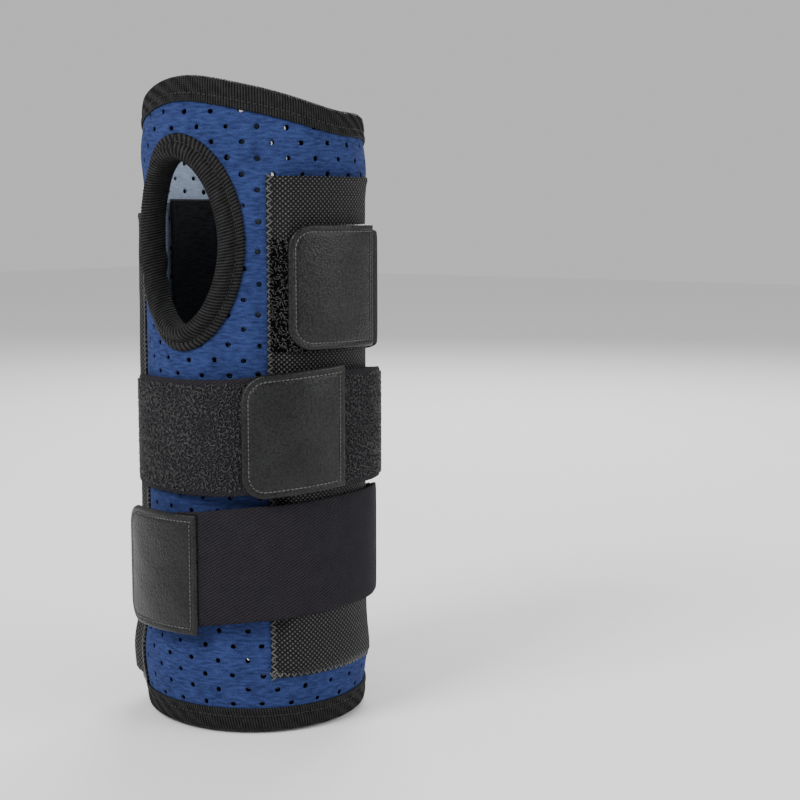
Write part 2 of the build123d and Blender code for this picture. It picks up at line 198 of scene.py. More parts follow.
def rough(points: Array, scale: float, seed: int) -> Array:
    """Gentle unevenness over a surface: a few slanted waves, the same each run.

    Args:
        points: where to sample, one row each.
        scale: the size of the largest waves, in the points' unit.
        seed: which set of waves.

    Returns:
        One value per point, about -1 to 1.
    """
    rng = np.random.default_rng(seed)
    total = np.zeros(len(points))
    for octave in range(4):
        way = rng.normal(size=points.shape[1])
        way /= np.linalg.norm(way)
        turn = rng.uniform(0, 2 * math.pi)
        total += np.sin(points @ way * 2 * math.pi * (1.6**octave) / scale + turn) / (1.3**octave)
    return total / 2.9


class Workshop:
    """Makes finished objects in the row frame, from points about the sleeve's axis."""

    def __init__(self) -> None:
        """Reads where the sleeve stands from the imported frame."""
        low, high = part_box("edge_binding")
        self.axis = Vector(((low.x + high.x) / 2, (low.y + high.y) / 2, 0))

    def place(self, points: Array) -> Array:
        """Points about the axis in millimetres, in the row frame in metres."""
        return np.asarray(points, float) * MM + np.array(self.axis)

    def mesh(self, name: str, points: Array, faces: Array | list, finish: bpy.types.Material,
             uv: Array | None = None, smooth: bool = True) -> bpy.types.Object:
        """Makes a mesh object with its faces pointing outwards.

        Args:
            name: the object's name.
            points: vertices about the axis, in millimetres.
            faces: quads or longer faces, as indices.
            finish: its material.
            uv: one pair per vertex, in millimetres along and across the cloth.
            smooth: whether it is shaded smooth.

        Returns:
            The object, at the origin, linked to the scene.
        """
        data = bpy.data.meshes.new(name)
        faces = [tuple(int(i) for i in f) for f in faces]
        points = self.place(points)
        if signed_volume(points, faces) < 0:
            faces = [f[::-1] for f in faces]
        data.from_pydata(points.tolist(), [], faces)
        if uv is not None:
            layer = data.uv_layers.new(name="cloth")
            at = np.zeros(len(data.loops), np.int64)
            data.loops.foreach_get("vertex_index", at)
            layer.data.foreach_set("uv", np.asarray(uv, np.float32)[at].ravel())
        data.polygons.foreach_set("use_smooth", np.full(len(data.polygons), smooth))
        data.materials.append(finish)
        data.validate()
        made = bpy.data.objects.new(name, data)
        bpy.context.scene.collection.objects.link(made)
        return made

    def finish_piece(self, piece: bpy.types.Object, body: str, slot: str,
                     *nodes: str) -> None:
        """Lets a piece ride on a body and stand for CAD nodes, and reports it.

        Args:
            piece: the finished object.
            body: the CAD body that it moves with.
            slot: the record's material slot; not used.
            nodes: the CAD nodes that it replaces.
        """
        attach(piece, body)
        if nodes:
            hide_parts(*nodes)
        LOG.info("%s: %d faces, on %s", piece.name, len(piece.data.polygons), body)


def signed_volume(points: Array, faces: list) -> float:
    """Volume inside faces that point outwards; negative if they point inwards."""
    total = 0.0
    by_size: dict[int, list] = {}
    for f in faces:
        by_size.setdefault(len(f), []).append(f)
    for size, group in by_size.items():
        index = np.array(group)
        a = points[index[:, 0]]
        for k in range(1, size - 1):
            b, c = points[index[:, k]], points[index[:, k + 1]]
            total += float(np.einsum("ij,ij->i", a, np.cross(b, c)).sum())
    return total / 6


def tube_faces(stations: int, ring: int, closed: bool) -> list:
    """Faces of a swept closed profile, with flat ends where it is open."""
    faces = [tuple(f) for f in grid_faces(stations, ring, close_cols=True, close_rows=closed)]
    if not closed:
        faces.append(tuple(range(ring))[::-1])
        faces.append(tuple(range((stations - 1) * ring, stations * ring)))
    return faces


def thicken(outer: Array, inner: Array, faces: Array) -> tuple[Array, list]:
    """A closed wall from two matching surfaces.

    Args:
        outer: vertices of the outer surface.
        inner: the matching vertices of the inner one.
        faces: quads that both share.

    Returns:
        All vertices and all faces.
    """
    count = len(outer)
    edges = np.concatenate([np.stack([faces[:, k], faces[:, (k + 1) % 4]], 1) for k in range(4)])
    _, index, uses = np.unique(np.sort(edges, 1), axis=0, return_index=True, return_counts=True)
    rim = edges[index[uses == 1]]
    walls = np.stack([rim[:, 1], rim[:, 0], rim[:, 0] + count, rim[:, 1] + count], 1)
    everything = np.concatenate([faces, faces[:, ::-1] + count, walls])
    return np.concatenate([outer, inner]), [tuple(f) for f in everything]


# --------------------------------------------------------------------------- finishes
class Weave(Enum):
    """How a finish is textured."""

    KNIT = "brushed knit"
    TWILL = "fine twill"
    RIBBED = "ribbed tape"
    BASKET = "basket weave"
    PILE = "napped loops"
    GRAIN = "leather grain"
    FOAM = "open foam"
    HOOKS = "moulded hooks"
    SMOOTH = "smooth"
    BRUSHED = "brushed metal"


@dataclass(frozen=True)
class Finish:
    """A surface finish: its colours, shine and texture."""

    name: str
    weave: Weave
    dark: tuple[float, float, float]
    light: tuple[float, float, float]
    roughness: float
    bump: float
    sheen: float = 0.0
    shine: float = 0.2
    metallic: float = 0.0
    coat: float = 0.0

    def build(self) -> bpy.types.Material:
        """Builds the node material.

        Returns:
            The material, reading object coordinates or the piece's own cloth UV map.
        """
        material = bpy.data.materials.new(self.name)
        material.use_nodes = True
        tree = material.node_tree
        shader = tree.nodes["Principled BSDF"]
        shader.inputs["Roughness"].default_value = self.roughness
        shader.inputs["Metallic"].default_value = self.metallic
        shader.inputs["Specular IOR Level"].default_value = self.shine
        shader.inputs["Sheen Weight"].default_value = self.sheen
        shader.inputs["Sheen Roughness"].default_value = 0.45
        shader.inputs["Coat Weight"].default_value = self.coat
        shader.inputs["Coat Roughness"].default_value = 0.12
        height, tone = TEXTURES[self.weave](Nodes(tree))
        ramp = tree.nodes.new("ShaderNodeMix")
        ramp.data_type = "RGBA"
        ramp.inputs["A"].default_value = (*self.dark, 1)
        ramp.inputs["B"].default_value = (*self.light, 1)
        tree.links.new(tone, ramp.inputs["Factor"])
        tree.links.new(ramp.outputs["Result"], shader.inputs["Base Color"])
        bump = tree.nodes.new("ShaderNodeBump")
        bump.inputs["Strength"].default_value = self.bump
        bump.inputs["Distance"].default_value = 0.0004
        tree.links.new(height, bump.inputs["Height"])
        tree.links.new(bump.outputs["Normal"], shader.inputs["Normal"])
        return material


class Nodes:
    """Short ways to lay out texture nodes in one tree."""

    def __init__(self, tree: bpy.types.NodeTree) -> None:
        """Keeps the tree and finds its coordinates."""
        self.tree = tree
        self.coords = tree.nodes.new("ShaderNodeTexCoord")
        self.object = self.coords.outputs["Object"]
        cloth = tree.nodes.new("ShaderNodeUVMap")
        cloth.uv_map = "cloth"
        self.cloth = cloth.outputs["UV"]

    def mapped(self, source: bpy.types.NodeSocket, scale: tuple[float, float, float],
               turn: float = 0.0) -> bpy.types.NodeSocket:
        """Coordinates scaled and turned about Z."""
        node = self.tree.nodes.new("ShaderNodeMapping")
        node.inputs["Scale"].default_value = scale
        node.inputs["Rotation"].default_value = (0, 0, math.radians(turn))
        self.tree.links.new(source, node.inputs["Vector"])
        return node.outputs["Vector"]

    def noise(self, source: bpy.types.NodeSocket, scale: float,
              detail: float = 3.0) -> bpy.types.NodeSocket:
        """Noise of that scale over coordinates."""
        node = self.tree.nodes.new("ShaderNodeTexNoise")
        node.inputs["Scale"].default_value = scale
        node.inputs["Detail"].default_value = detail
        self.tree.links.new(source, node.inputs["Vector"])
        return node.outputs["Fac"]

    def cells(self, source: bpy.types.NodeSocket, scale: float) -> bpy.types.NodeSocket:
        """Distance to the nearest of scattered points."""
        node = self.tree.nodes.new("ShaderNodeTexVoronoi")
        node.inputs["Scale"].default_value = scale
        self.tree.links.new(source, node.inputs["Vector"])
        return node.outputs["Distance"]

    def wave(self, source: bpy.types.NodeSocket, pitch: float,
             along: str = "X") -> bpy.types.NodeSocket:
        """Even stripes, one every pitch."""
        node = self.tree.nodes.new("ShaderNodeTexWave")
        node.bands_direction = along
        node.inputs["Scale"].default_value = 2 * math.pi / pitch / 20
        self.tree.links.new(source, node.inputs["Vector"])
        return node.outputs["Fac"]

    def math(self, kind: str, a: bpy.types.NodeSocket | float,
             b: bpy.types.NodeSocket | float) -> bpy.types.NodeSocket:
        """A sum, product or other operation on two values, kept between 0 and 1."""
        node = self.tree.nodes.new("ShaderNodeMath")
        node.operation = kind
        node.use_clamp = True
        for socket, value in zip(node.inputs, (a, b)):
            if isinstance(value, bpy.types.NodeSocket):
                self.tree.links.new(value, socket)
            else:
                socket.default_value = value
        return node.outputs[0]

    def stretch(self, value: bpy.types.NodeSocket, low: float,
                high: float) -> bpy.types.NodeSocket:
        """A value with low brought down to 0 and high up to 1."""
        node = self.tree.nodes.new("ShaderNodeMapRange")
        node.inputs["From Min"].default_value = low
        node.inputs["From Max"].default_value = high
        self.tree.links.new(value, node.inputs["Value"])
        return node.outputs["Result"]

    def blend(self, a: bpy.types.NodeSocket, b: bpy.types.NodeSocket,
              share: float) -> bpy.types.NodeSocket:
        """A mix of two values, with that share of the second."""
        return self.math("ADD", self.math("MULTIPLY", a, 1 - share), self.math("MULTIPLY", b, share))


Texture = Callable[[Nodes], tuple[bpy.types.NodeSocket, bpy.types.NodeSocket]]


def knit(n: Nodes) -> tuple[bpy.types.NodeSocket, bpy.types.NodeSocket]:
    """Short fibres brushed round the sleeve over a soft mottle."""
    fibres = n.noise(n.mapped(n.cloth, (0.3, 1.25, 1)), 1.0, 2.0)
    fuzz = n.noise(n.cloth, 2.2, 3.0)
    height = n.blend(fibres, fuzz, 0.4)
    mottle = n.noise(n.cloth, 0.12, 3.0)
    tone = n.blend(height, mottle, 0.2)
    return height, n.stretch(tone, 0.3, 0.66)


def twill(n: Nodes) -> tuple[bpy.types.NodeSocket, bpy.types.NodeSocket]:
    """Fine slanting ridges of a woven elastic."""
    ridges = n.wave(n.mapped(n.cloth, (1, 1, 1), 28), 0.62)
    cross = n.wave(n.mapped(n.cloth, (1, 1, 1), -64), 0.9)
    weave = n.math("MULTIPLY", ridges, cross)
    grit = n.noise(n.cloth, 2.2, 3.0)
    height = n.blend(weave, grit, 0.45)
    return height, n.stretch(n.blend(height, n.noise(n.cloth, 0.2, 3.0), 0.15), 0.15, 0.65)


def ribbed(n: Nodes) -> tuple[bpy.types.NodeSocket, bpy.types.NodeSocket]:
    """Slightly slanting ribs across a tape, crossed by fine threads."""
    ribs = n.wave(n.mapped(n.cloth, (1, 1, 1), 12), 0.85)
    threads = n.wave(n.cloth, 0.6, "Y")
    grit = n.noise(n.cloth, 3.0, 2.0)
    height = n.blend(n.blend(ribs, threads, 0.25), grit, 0.3)
    return height, n.stretch(n.blend(height, n.noise(n.cloth, 0.5, 3.0), 0.3), 0.35, 0.75)


def basket(n: Nodes) -> tuple[bpy.types.NodeSocket, bpy.types.NodeSocket]:
    """Coarse webbing: yarns that pass over and under each other, lit only on the tops of the crossings:
    painted glints.
    """
    across, along = n.wave(n.cloth, 1.5), n.wave(n.cloth, 1.5, "Y")
    both = n.math("MULTIPLY", across, along)
    neither = n.math("MULTIPLY", n.math("SUBTRACT", 1.0, across), n.math("SUBTRACT", 1.0, along))
    weave = n.math("ADD", both, neither)
    grit = n.noise(n.cloth, 4.0, 2.0)
    height = n.blend(weave, grit, 0.3)
    # Painted glints: the colour turns light only where the weave and the grit both peak.
    tone = n.math("MULTIPLY", n.stretch(weave, 0.55, 1.0), n.stretch(grit, 0.3, 0.65))
    return height, tone


def pile(n: Nodes) -> tuple[bpy.types.NodeSocket, bpy.types.NodeSocket]:
    """Tangled loops with painted shade in the gaps between them: the tone is squared, so most of the ground
    stays at its dark end.
    """
    loops = n.cells(n.object, 900)
    fuzz = n.noise(n.object, 1800, 4.0)
    height = n.blend(loops, fuzz, 0.6)
    return height, n.math("POWER", n.blend(fuzz, loops, 0.4), 2.0)


def grain(n: Nodes) -> tuple[bpy.types.NodeSocket, bpy.types.NodeSocket]:
    """Pebbled leather: painted shade in the creases between the pebbles, lighter on their tops, and lighter
    in random patches.
    """
    pebbles = n.cells(n.object, 1500)
    creases = n.noise(n.object, 900, 4.0)
    height = n.blend(n.math("POWER", pebbles, 0.6), creases, 0.45)
    # Painted shade: darker where the pebbles meet, mixed with random lighter patches.
    crease_shade_and_patches = n.blend(n.math("SUBTRACT", 1.0, pebbles), n.noise(n.object, 90, 3.0), 0.5)
    return height, n.stretch(crease_shade_and_patches, 0.35, 0.75)


def foam(n: Nodes) -> tuple[bpy.types.NodeSocket, bpy.types.NodeSocket]:
    """The pores of cut foam."""
    pores = n.cells(n.object, 2200)
    return pores, n.blend(pores, n.noise(n.object, 400), 0.5)


def hooks(n: Nodes) -> tuple[bpy.types.NodeSocket, bpy.types.NodeSocket]:
    """Rows of small moulded hooks."""
    rows = n.wave(n.mapped(n.object, (1000, 1000, 1000)), 1.3, "Z")
    points = n.cells(n.object, 900)
    height = n.math("MULTIPLY", rows, n.math("SUBTRACT", 1.0, points))
    return height, height


def plain(n: Nodes) -> tuple[bpy.types.NodeSocket, bpy.types.NodeSocket]:
    """A coated surface with faint orange peel and handling marks."""
    peel = n.noise(n.object, 500, 2.0)
    return peel, n.noise(n.object, 120, 4.0)


def brushed(n: Nodes) -> tuple[bpy.types.NodeSocket, bpy.types.NodeSocket]:
    """Fine lines along a rolled strip."""
    lines = n.noise(n.mapped(n.object, (4000, 4000, 60)), 1.0, 3.0)
    return lines, lines


TEXTURES: dict[Weave, Texture] = {
    Weave.KNIT: knit, Weave.TWILL: twill, Weave.RIBBED: ribbed,
    Weave.BASKET: basket, Weave.PILE: pile, Weave.GRAIN: grain, Weave.FOAM: foam, Weave.HOOKS: hooks,
    Weave.SMOOTH: plain, Weave.BRUSHED: brushed,
}

BLUE_KNIT = Finish("blue_knit", Weave.KNIT, (0.006, 0.0096, 0.034), (0.036, 0.057, 0.175),
                   roughness=0.95, bump=1.0, sheen=0.02, shine=0.05)
PALE_KNIT = Finish("pale_knit", Weave.KNIT, (0.27, 0.32, 0.43), (0.52, 0.60, 0.74),
                   roughness=0.95, bump=0.35, sheen=0.1, shine=0.05)
BLACK_KNIT = Finish("black_knit", Weave.KNIT, (0.003, 0.003, 0.0035), (0.03, 0.03, 0.031),
                    roughness=0.8, bump=0.8, sheen=0, shine=0.15)
BLACK_FOAM = Finish("black_foam", Weave.FOAM, (0.001, 0.001, 0.0012), (0.005, 0.005, 0.006),
                    roughness=0.95, bump=0.4, sheen=0, shine=0.05)
BINDING = Finish("binding_tape", Weave.RIBBED, (0.0006, 0.0006, 0.0008), (0.028, 0.028, 0.0285),
                 roughness=0.6, bump=1.0, sheen=0, shine=0.1)
# Both webbings are near black; their light colour, reached only on the yarn crossings, is painted glints.
RIB_WEBBING_PAINTED_GLINTS = Finish("webbing", Weave.BASKET, (0.001, 0.001, 0.001), (0.30, 0.30, 0.305),
                     roughness=0.5, bump=1.0, sheen=0, shine=0.18)
WEBBING_PAINTED_GLINTS = Finish("webbing", Weave.BASKET, (0.0008, 0.0008, 0.0008), (0.13, 0.13, 0.133),
                 roughness=0.5, bump=1.0, sheen=0, shine=0.15)
ELASTIC = Finish("elastic", Weave.TWILL, (0.0034, 0.0032, 0.004), (0.032, 0.0285, 0.0355),
                 roughness=0.8, bump=0.9, sheen=0, shine=0.08)
# The ground under the pile is kept darker than the other black cloth: painted shade in the gaps between the
# loops.
SHADED_PILE_GROUND = Finish("loop_pile", Weave.PILE, (0.0002, 0.0002, 0.0003), (0.003, 0.003, 0.0033),
                   roughness=0.8, bump=0.5, sheen=0, shine=0.05)
# The loop copies are the same black nylon made lighter than their ground: painted glints on the loops.
GLINTING_LOOPS = Finish("loops", Weave.SMOOTH, (0.005, 0.005, 0.0055), (0.06, 0.06, 0.0605),
               roughness=0.45, bump=0.1, sheen=0, shine=0.35)
LEATHER = Finish("leather", Weave.GRAIN, (0.0025, 0.0028, 0.0027), (0.0145, 0.0152, 0.0148),
                 roughness=0.36, bump=0.7, sheen=0, shine=0.25)
THREAD = Finish("thread", Weave.SMOOTH, (0.004, 0.004, 0.0042), (0.025, 0.025, 0.0252),
                roughness=0.45, bump=0.1, sheen=0, shine=0.25)
# Pale thread for the tab stitches, the zigzag seams and the overlock; on the shiny black zigzag thread its
# pale tone is painted highlight.
TAB_THREAD = Finish("tab_thread", Weave.SMOOTH, (0.02, 0.02, 0.0202), (0.12, 0.12, 0.121),
                    roughness=0.45, bump=0.1, sheen=0, shine=0.3)
HOOK_TAPE = Finish("hook_tape", Weave.HOOKS, (0.001, 0.001, 0.001), (0.016, 0.016, 0.0165),
                   roughness=0.5, bump=0.8)
RING_COAT = Finish("ring_coat", Weave.SMOOTH, (0.002, 0.002, 0.0025), (0.005, 0.005, 0.006),
                   roughness=0.18, bump=0.05, sheen=0, shine=0.5, coat=0.3)
STAY_METAL = Finish("stay_metal", Weave.BRUSHED, (0.5, 0.51, 0.53), (0.78, 0.79, 0.8),
                    roughness=0.32, bump=0.15, sheen=0, shine=0.5, metallic=1.0)
PAPER = Finish("floor", Weave.SMOOTH, (0.88, 0.88, 0.88), (0.9, 0.9, 0.9),
               roughness=0.9, bump=0.0)


# --------------------------------------------------------------------------- repeats
@dataclass(frozen=True)
class Repeat:
    """Sizes of a repeated shape: how its copies vary and when they merge."""

    least: float = 1.0
    greatest: float = 1.0
    spin: float = 0.0
    merge: float = 0.0
    seed: int = 7


class Repeater:
    """Puts copies of a shape on points or over a surface with Geometry Nodes."""

    def __init__(self, workshop: Workshop) -> None:
        """Builds both trees once."""
        self.workshop = workshop
        self.shapes: list[bpy.types.Object] = []
        self.on_points = self._tree("copies_on_points", False)
        self.over_surface = self._tree("copies_over_surface", True)

    def _tree(self, name: str, scatter: bool) -> bpy.types.NodeTree:
        """Builds one tree.

        Args:
            name: the tree's name.
            scatter: spread points over faces first, rather than take the mesh's own.

        Returns:
            The tree, with a named input for each size.
        """
        tree = bpy.data.node_groups.new(name, "GeometryNodeTree")
        face = tree.interface
        face.new_socket("Geometry", in_out="INPUT", socket_type="NodeSocketGeometry")
        for label, kind in (("Shape", "Object"), ("Finish", "Material"), ("Least", "Float"),
                            ("Greatest", "Float"), ("Spin", "Float"), ("Merge", "Float"),
                            ("Density", "Float"), ("Seed", "Int")):
            face.new_socket(label, in_out="INPUT", socket_type=f"NodeSocket{kind}")
        face.new_socket("Geometry", in_out="OUTPUT", socket_type="NodeSocketGeometry")
        add, link = tree.nodes.new, tree.links.new
        given, out = add("NodeGroupInput"), add("NodeGroupOutput")
        copies, shape = add("GeometryNodeInstanceOnPoints"), add("GeometryNodeObjectInfo")
        link(given.outputs["Shape"], shape.inputs["Object"])
        link(shape.outputs["Geometry"], copies.inputs["Instance"])
        if scatter:
            spread = add("GeometryNodeDistributePointsOnFaces")
            link(given.outputs["Geometry"], spread.inputs["Mesh"])
            link(given.outputs["Density"], spread.inputs["Density"])
            link(given.outputs["Seed"], spread.inputs["Seed"])
            link(spread.outputs["Points"], copies.inputs["Points"])
            link(spread.outputs["Rotation"], copies.inputs["Rotation"])
        else:
            turn = add("GeometryNodeInputNamedAttribute")
            turn.data_type = "FLOAT_VECTOR"
            turn.inputs["Name"].default_value = "turn"
            rotation = add("FunctionNodeEulerToRotation")
            link(turn.outputs["Attribute"], rotation.inputs["Euler"])
            link(given.outputs["Geometry"], copies.inputs["Points"])
            link(rotation.outputs["Rotation"], copies.inputs["Rotation"])
        size, angle = add("FunctionNodeRandomValue"), add("FunctionNodeRandomValue")
        size.data_type = angle.data_type = "FLOAT"
        link(given.outputs["Least"], size.inputs[2])
        link(given.outputs["Greatest"], size.inputs[3])
        link(given.outputs["Seed"], size.inputs["Seed"])
        link(size.outputs[1], copies.inputs["Scale"])
        link(given.outputs["Spin"], angle.inputs[3])
        link(given.outputs["Seed"], angle.inputs["Seed"])
        about, spin = add("ShaderNodeCombineXYZ"), add("GeometryNodeRotateInstances")
        link(angle.outputs[1], about.inputs["Z"])
        link(copies.outputs["Instances"], spin.inputs["Instances"])
        link(about.outputs["Vector"], spin.inputs["Rotation"])
        real, merged = add("GeometryNodeRealizeInstances"), add("GeometryNodeMergeByDistance")
        link(spin.outputs["Instances"], real.inputs["Geometry"])
        link(real.outputs["Geometry"], merged.inputs["Geometry"])
        link(given.outputs["Merge"], merged.inputs["Distance"])
        finish = add("GeometryNodeSetMaterial")
        link(merged.outputs["Geometry"], finish.inputs["Geometry"])
        link(given.outputs["Finish"], finish.inputs["Material"])
        link(finish.outputs["Geometry"], out.inputs["Geometry"])
        return tree

    def run(self, tree: bpy.types.NodeTree, base: bpy.types.Object, shape: bpy.types.Object,
            finish: bpy.types.Material, repeat: Repeat, density: float = 0.0) -> bpy.types.Mesh:
        """Runs a tree on an object and removes the object.

        Args:
            tree: one of the two trees.
            base: the object whose points or faces take the copies.
            shape: the shape to copy; it stays.
            finish: the copies' material.
            repeat: how the copies vary.
            density: copies to the square metre, for scattered ones.

        Returns:
            The copies as one plain mesh.
        """
        modifier = base.modifiers.new("repeat", "NODES")
        modifier.node_group = tree
        sizes = {"Shape": shape, "Finish": finish, "Least": repeat.least,
                 "Greatest": repeat.greatest, "Spin": repeat.spin, "Merge": repeat.merge,
                 "Density": density, "Seed": repeat.seed}
        for item in tree.interface.items_tree:
            if item.in_out == "INPUT" and item.name in sizes:
                modifier[item.identifier] = sizes[item.name]
        bpy.context.view_layer.update()
        graph = bpy.context.evaluated_depsgraph_get()
        result = bpy.data.meshes.new_from_object(base.evaluated_get(graph))
        base.modifiers.clear()
        bpy.data.objects.remove(base)
        return result

    def shape(self, name: str, points: Array, faces: list) -> bpy.types.Object:
        """A shape to copy, in metres about its own origin, kept out of sight.

        Args:
            name: its name.
            points: vertices in millimetres.
            faces: faces as indices.

        Returns:
            The object; remove_shapes deletes it.
        """
        data = bpy.data.meshes.new(name)
        data.from_pydata((np.asarray(points, float) * MM).tolist(), [],
                         [tuple(int(i) for i in f) for f in faces])
        data.polygons.foreach_set("use_smooth", np.full(len(data.polygons), True))
        made = bpy.data.objects.new(name, data)
        bpy.context.scene.collection.objects.link(made)
        made.hide_render = True
        self.shapes.append(made)
        return made

    def remove_shapes(self) -> None:
        """Deletes the shapes that were copied."""
        for shape in self.shapes:
            bpy.data.objects.remove(shape)

    def along(self, name: str, points: Array, ways: Array, outs: Array, shape: bpy.types.Object,
              finish: bpy.types.Material, repeat: Repeat = Repeat()) -> bpy.types.Object:
        """Copies a shape to points, each turned to its own directions.

        Args:
            name: the finished object's name.
            points: where the copies go, about the axis.
            ways: where each copy's X points.
            outs: where each copy's Z points.
            shape: the shape to copy.
            finish: the copies' material.
            repeat: how the copies vary.

        Returns:
            One object with all of the copies.
        """
        data = bpy.data.meshes.new(name)
        data.from_pydata(self.workshop.place(points).tolist(), [], [])
        side = np.cross(outs, ways)
        side /= np.linalg.norm(side, axis=1, keepdims=True)
        ways = np.cross(side, outs)
        turns = [Matrix(np.stack(axes, 1).tolist()).to_euler() for axes in zip(ways, side, outs)]
        kept = data.attributes.new("turn", "FLOAT_VECTOR", "POINT")
        kept.data.foreach_set("vector", np.array(turns, np.float32).ravel())
        base = bpy.data.objects.new(name, data)
        bpy.context.scene.collection.objects.link(base)
        mesh = self.run(self.on_points, base, shape, finish, repeat)
        made = bpy.data.objects.new(name, mesh)
        bpy.context.scene.collection.objects.link(made)
        return made

    def over(self, name: str, surface: bpy.types.Object, shape: bpy.types.Object,
             finish: bpy.types.Material, repeat: Repeat, per_mm2: float) -> bpy.types.Object:
        """Scatters copies of a shape over a surface, which it uses up.

        Args:
            name: the finished object's name.
            surface: an object whose faces point outwards.
            shape: the shape to copy.
            finish: the copies' material.
            repeat: how the copies vary.
            per_mm2: copies to the square millimetre.

        Returns:
            One object with all of the copies.
        """
        mesh = self.run(self.over_surface, surface, shape, finish, repeat, per_mm2 / MM**2)
        made = bpy.data.objects.new(name, mesh)
        bpy.context.scene.collection.objects.link(made)
        return made


class Shapes:
    """The small shapes that are repeated: a stitch and a loop of pile."""

    def __init__(self, repeater: Repeater) -> None:
        """Makes each once."""
        self.stitch = self._bead(repeater, "stitch", 0.62, 0.24, 0.16)
        self.zigzag = self._bead(repeater, "zigzag", 1.15, 0.26, 0.24)
        self.loop = self._loop(repeater)

    @staticmethod
    def _bead(repeater: Repeater, name: str, half_l: float, half_w: float,
              half_t: float) -> bpy.types.Object:
        """A grain-shaped stitch lying along X."""
        stations = np.array([-1, -0.8, 0, 0.8, 1])
        swell = np.array([0.15, 0.75, 1, 0.75, 0.15])
        turn = np.radians(np.arange(6) * 60)
        rings = [np.stack([np.full(6, x * half_l), np.cos(turn) * half_w * k,
                           np.sin(turn) * half_t * k], 1) for x, k in zip(stations, swell)]
        return repeater.shape(name, np.concatenate(rings), tube_faces(5, 6, False))

    @staticmethod
    def _loop(repeater: Repeater) -> bpy.types.Object:
        """An arched thread standing on the surface, leaning a little."""
        arch = np.radians([-20, 35, 90, 145, 200])
        line = np.stack([0.5 * np.cos(arch), 0.22 * np.sin(arch), 0.42 * np.sin(arch)], 1)
        way = tangents(line)
        side = np.cross(way, (0.0, 1.0, 0.4))
        side /= np.linalg.norm(side, axis=1, keepdims=True)
        up = np.cross(side, way)
        turn = np.radians([90, 210, 330])
        rings = [p + 0.15 * (np.cos(turn)[:, None] * a + np.sin(turn)[:, None] * b)
                 for p, a, b in zip(line, side, up)]
        return repeater.shape("loop", np.concatenate(rings), tube_faces(5, 3, False))


# --------------------------------------------------------------------------- the sleeve
@dataclass(frozen=True)
class SleeveShape:
    """The sleeve's wall and the outline that it is cut to."""

    radius: float = 35.2
    crown: float = 203.8
    fabric_t: float = 0.6
    foam_t: float = 2.4
    liner_t: float = 0.6
    right_corner: tuple[float, float] = (214.2, 43.0)
    left_corner: tuple[float, float] = (-138.8, 42.4)
    rim: tuple[tuple[float, float], ...] = (
        (208, 36.0), (199, 28.5), (182, 22.5), (160, 15.5), (120, 10.5), (85, 9.5), (40, 3.5),
        (-3, 0.0), (-50, 6.5), (-70, 10.0), (-103, 13.5), (-121, 22.5), (-132, 34.5))
    right_foot: float = 232.0
    left_foot: float = -124.0
    right_corner_r: float = 11.0
    left_corner_r: float = 16.0
    thumb_drop: float = 50.7
    thumb_half_w: float = 13.2
    thumb_half_h: float = 25.2

    def wall_t(self) -> float:
        """Thickness of all three layers."""
        return self.fabric_t + self.foam_t + self.liner_t

    def unroll(self, phi: Array) -> Array:
        """Distance round the fabric at phi."""
        return np.radians(phi) * self.radius

    def rim_height(self, phi: Array) -> Array:
        """Height of the rim at phi."""
        known = sorted([self.right_corner, *self.rim, self.left_corner])
        return self.crown - np.interp(phi, [p for p, _ in known], [d for _, d in known])

    def swell(self, phi: Array, z: Array) -> Array:
        """How far the sleeve swells out or is drawn in, next to its bindings and at its heel."""
        up, down = np.asarray(z, float), self.rim_height(phi) - z
        out = 1.2 * np.exp(-((up - 22) / 9) ** 2) + 0.9 * np.exp(-((down - 17) / 7) ** 2)
        drawn = 0.9 * np.exp(-((up / 8) ** 2)) + 0.8 * np.exp(-((down / 7) ** 2))
        slumped = 2.3 * np.exp(-((phi + 55) / 36) ** 2 - ((up - 12) / 20) ** 2)
        return out - drawn + slumped

    def wrap(self, flat: Array, radius: Array | float) -> Array:
        """Points on the sleeve from unrolled ones.

        Args:
            flat: distance round the fabric and height, one row each.
            radius: how far from the axis they end up.

        Returns:
            Points about the axis.
        """
        phi = np.degrees(flat[:, 0] / self.radius)
        return polar(phi, radius + self.swell(phi, flat[:, 1]), flat[:, 1])

    def outline(self) -> Array:
        """The cut edge, unrolled: round the rim, down the slit and along the foot."""
        rim = catmull([self.right_corner, *self.rim, self.left_corner], 10)
        rim = np.stack([self.unroll(rim[:, 0]), self.crown - rim[:, 1]], 1)
        left, right = self.unroll(self.left_foot), self.unroll(self.right_foot)
        turn = np.radians(np.linspace(0, 90, 10))[:, None]
        r = self.left_corner_r
        near = np.hstack([left + r - r * np.cos(turn), r - r * np.sin(turn)])
        r = self.right_corner_r
        far = np.hstack([right - r + r * np.sin(turn), r - r * np.cos(turn)])
        line = resample(np.vstack([rim, near, far]), 1.0, closed=True)
        return smooth_line(line, 10, closed=True)

    def thumb(self) -> Array:
        """The thumb hole's edge, unrolled, a little pointed at both ends."""
        turn = np.linspace(0, 2 * math.pi, 181)[:-1]
        across = self.thumb_half_w * np.sign(np.sin(turn)) * np.abs(np.sin(turn)) ** 1.12
        s = self.radius * np.arcsin(across / self.radius)
        z = self.crown - self.thumb_drop + self.thumb_half_h * np.cos(turn)
        return resample(np.stack([s, z], 1), 1.0, closed=True)


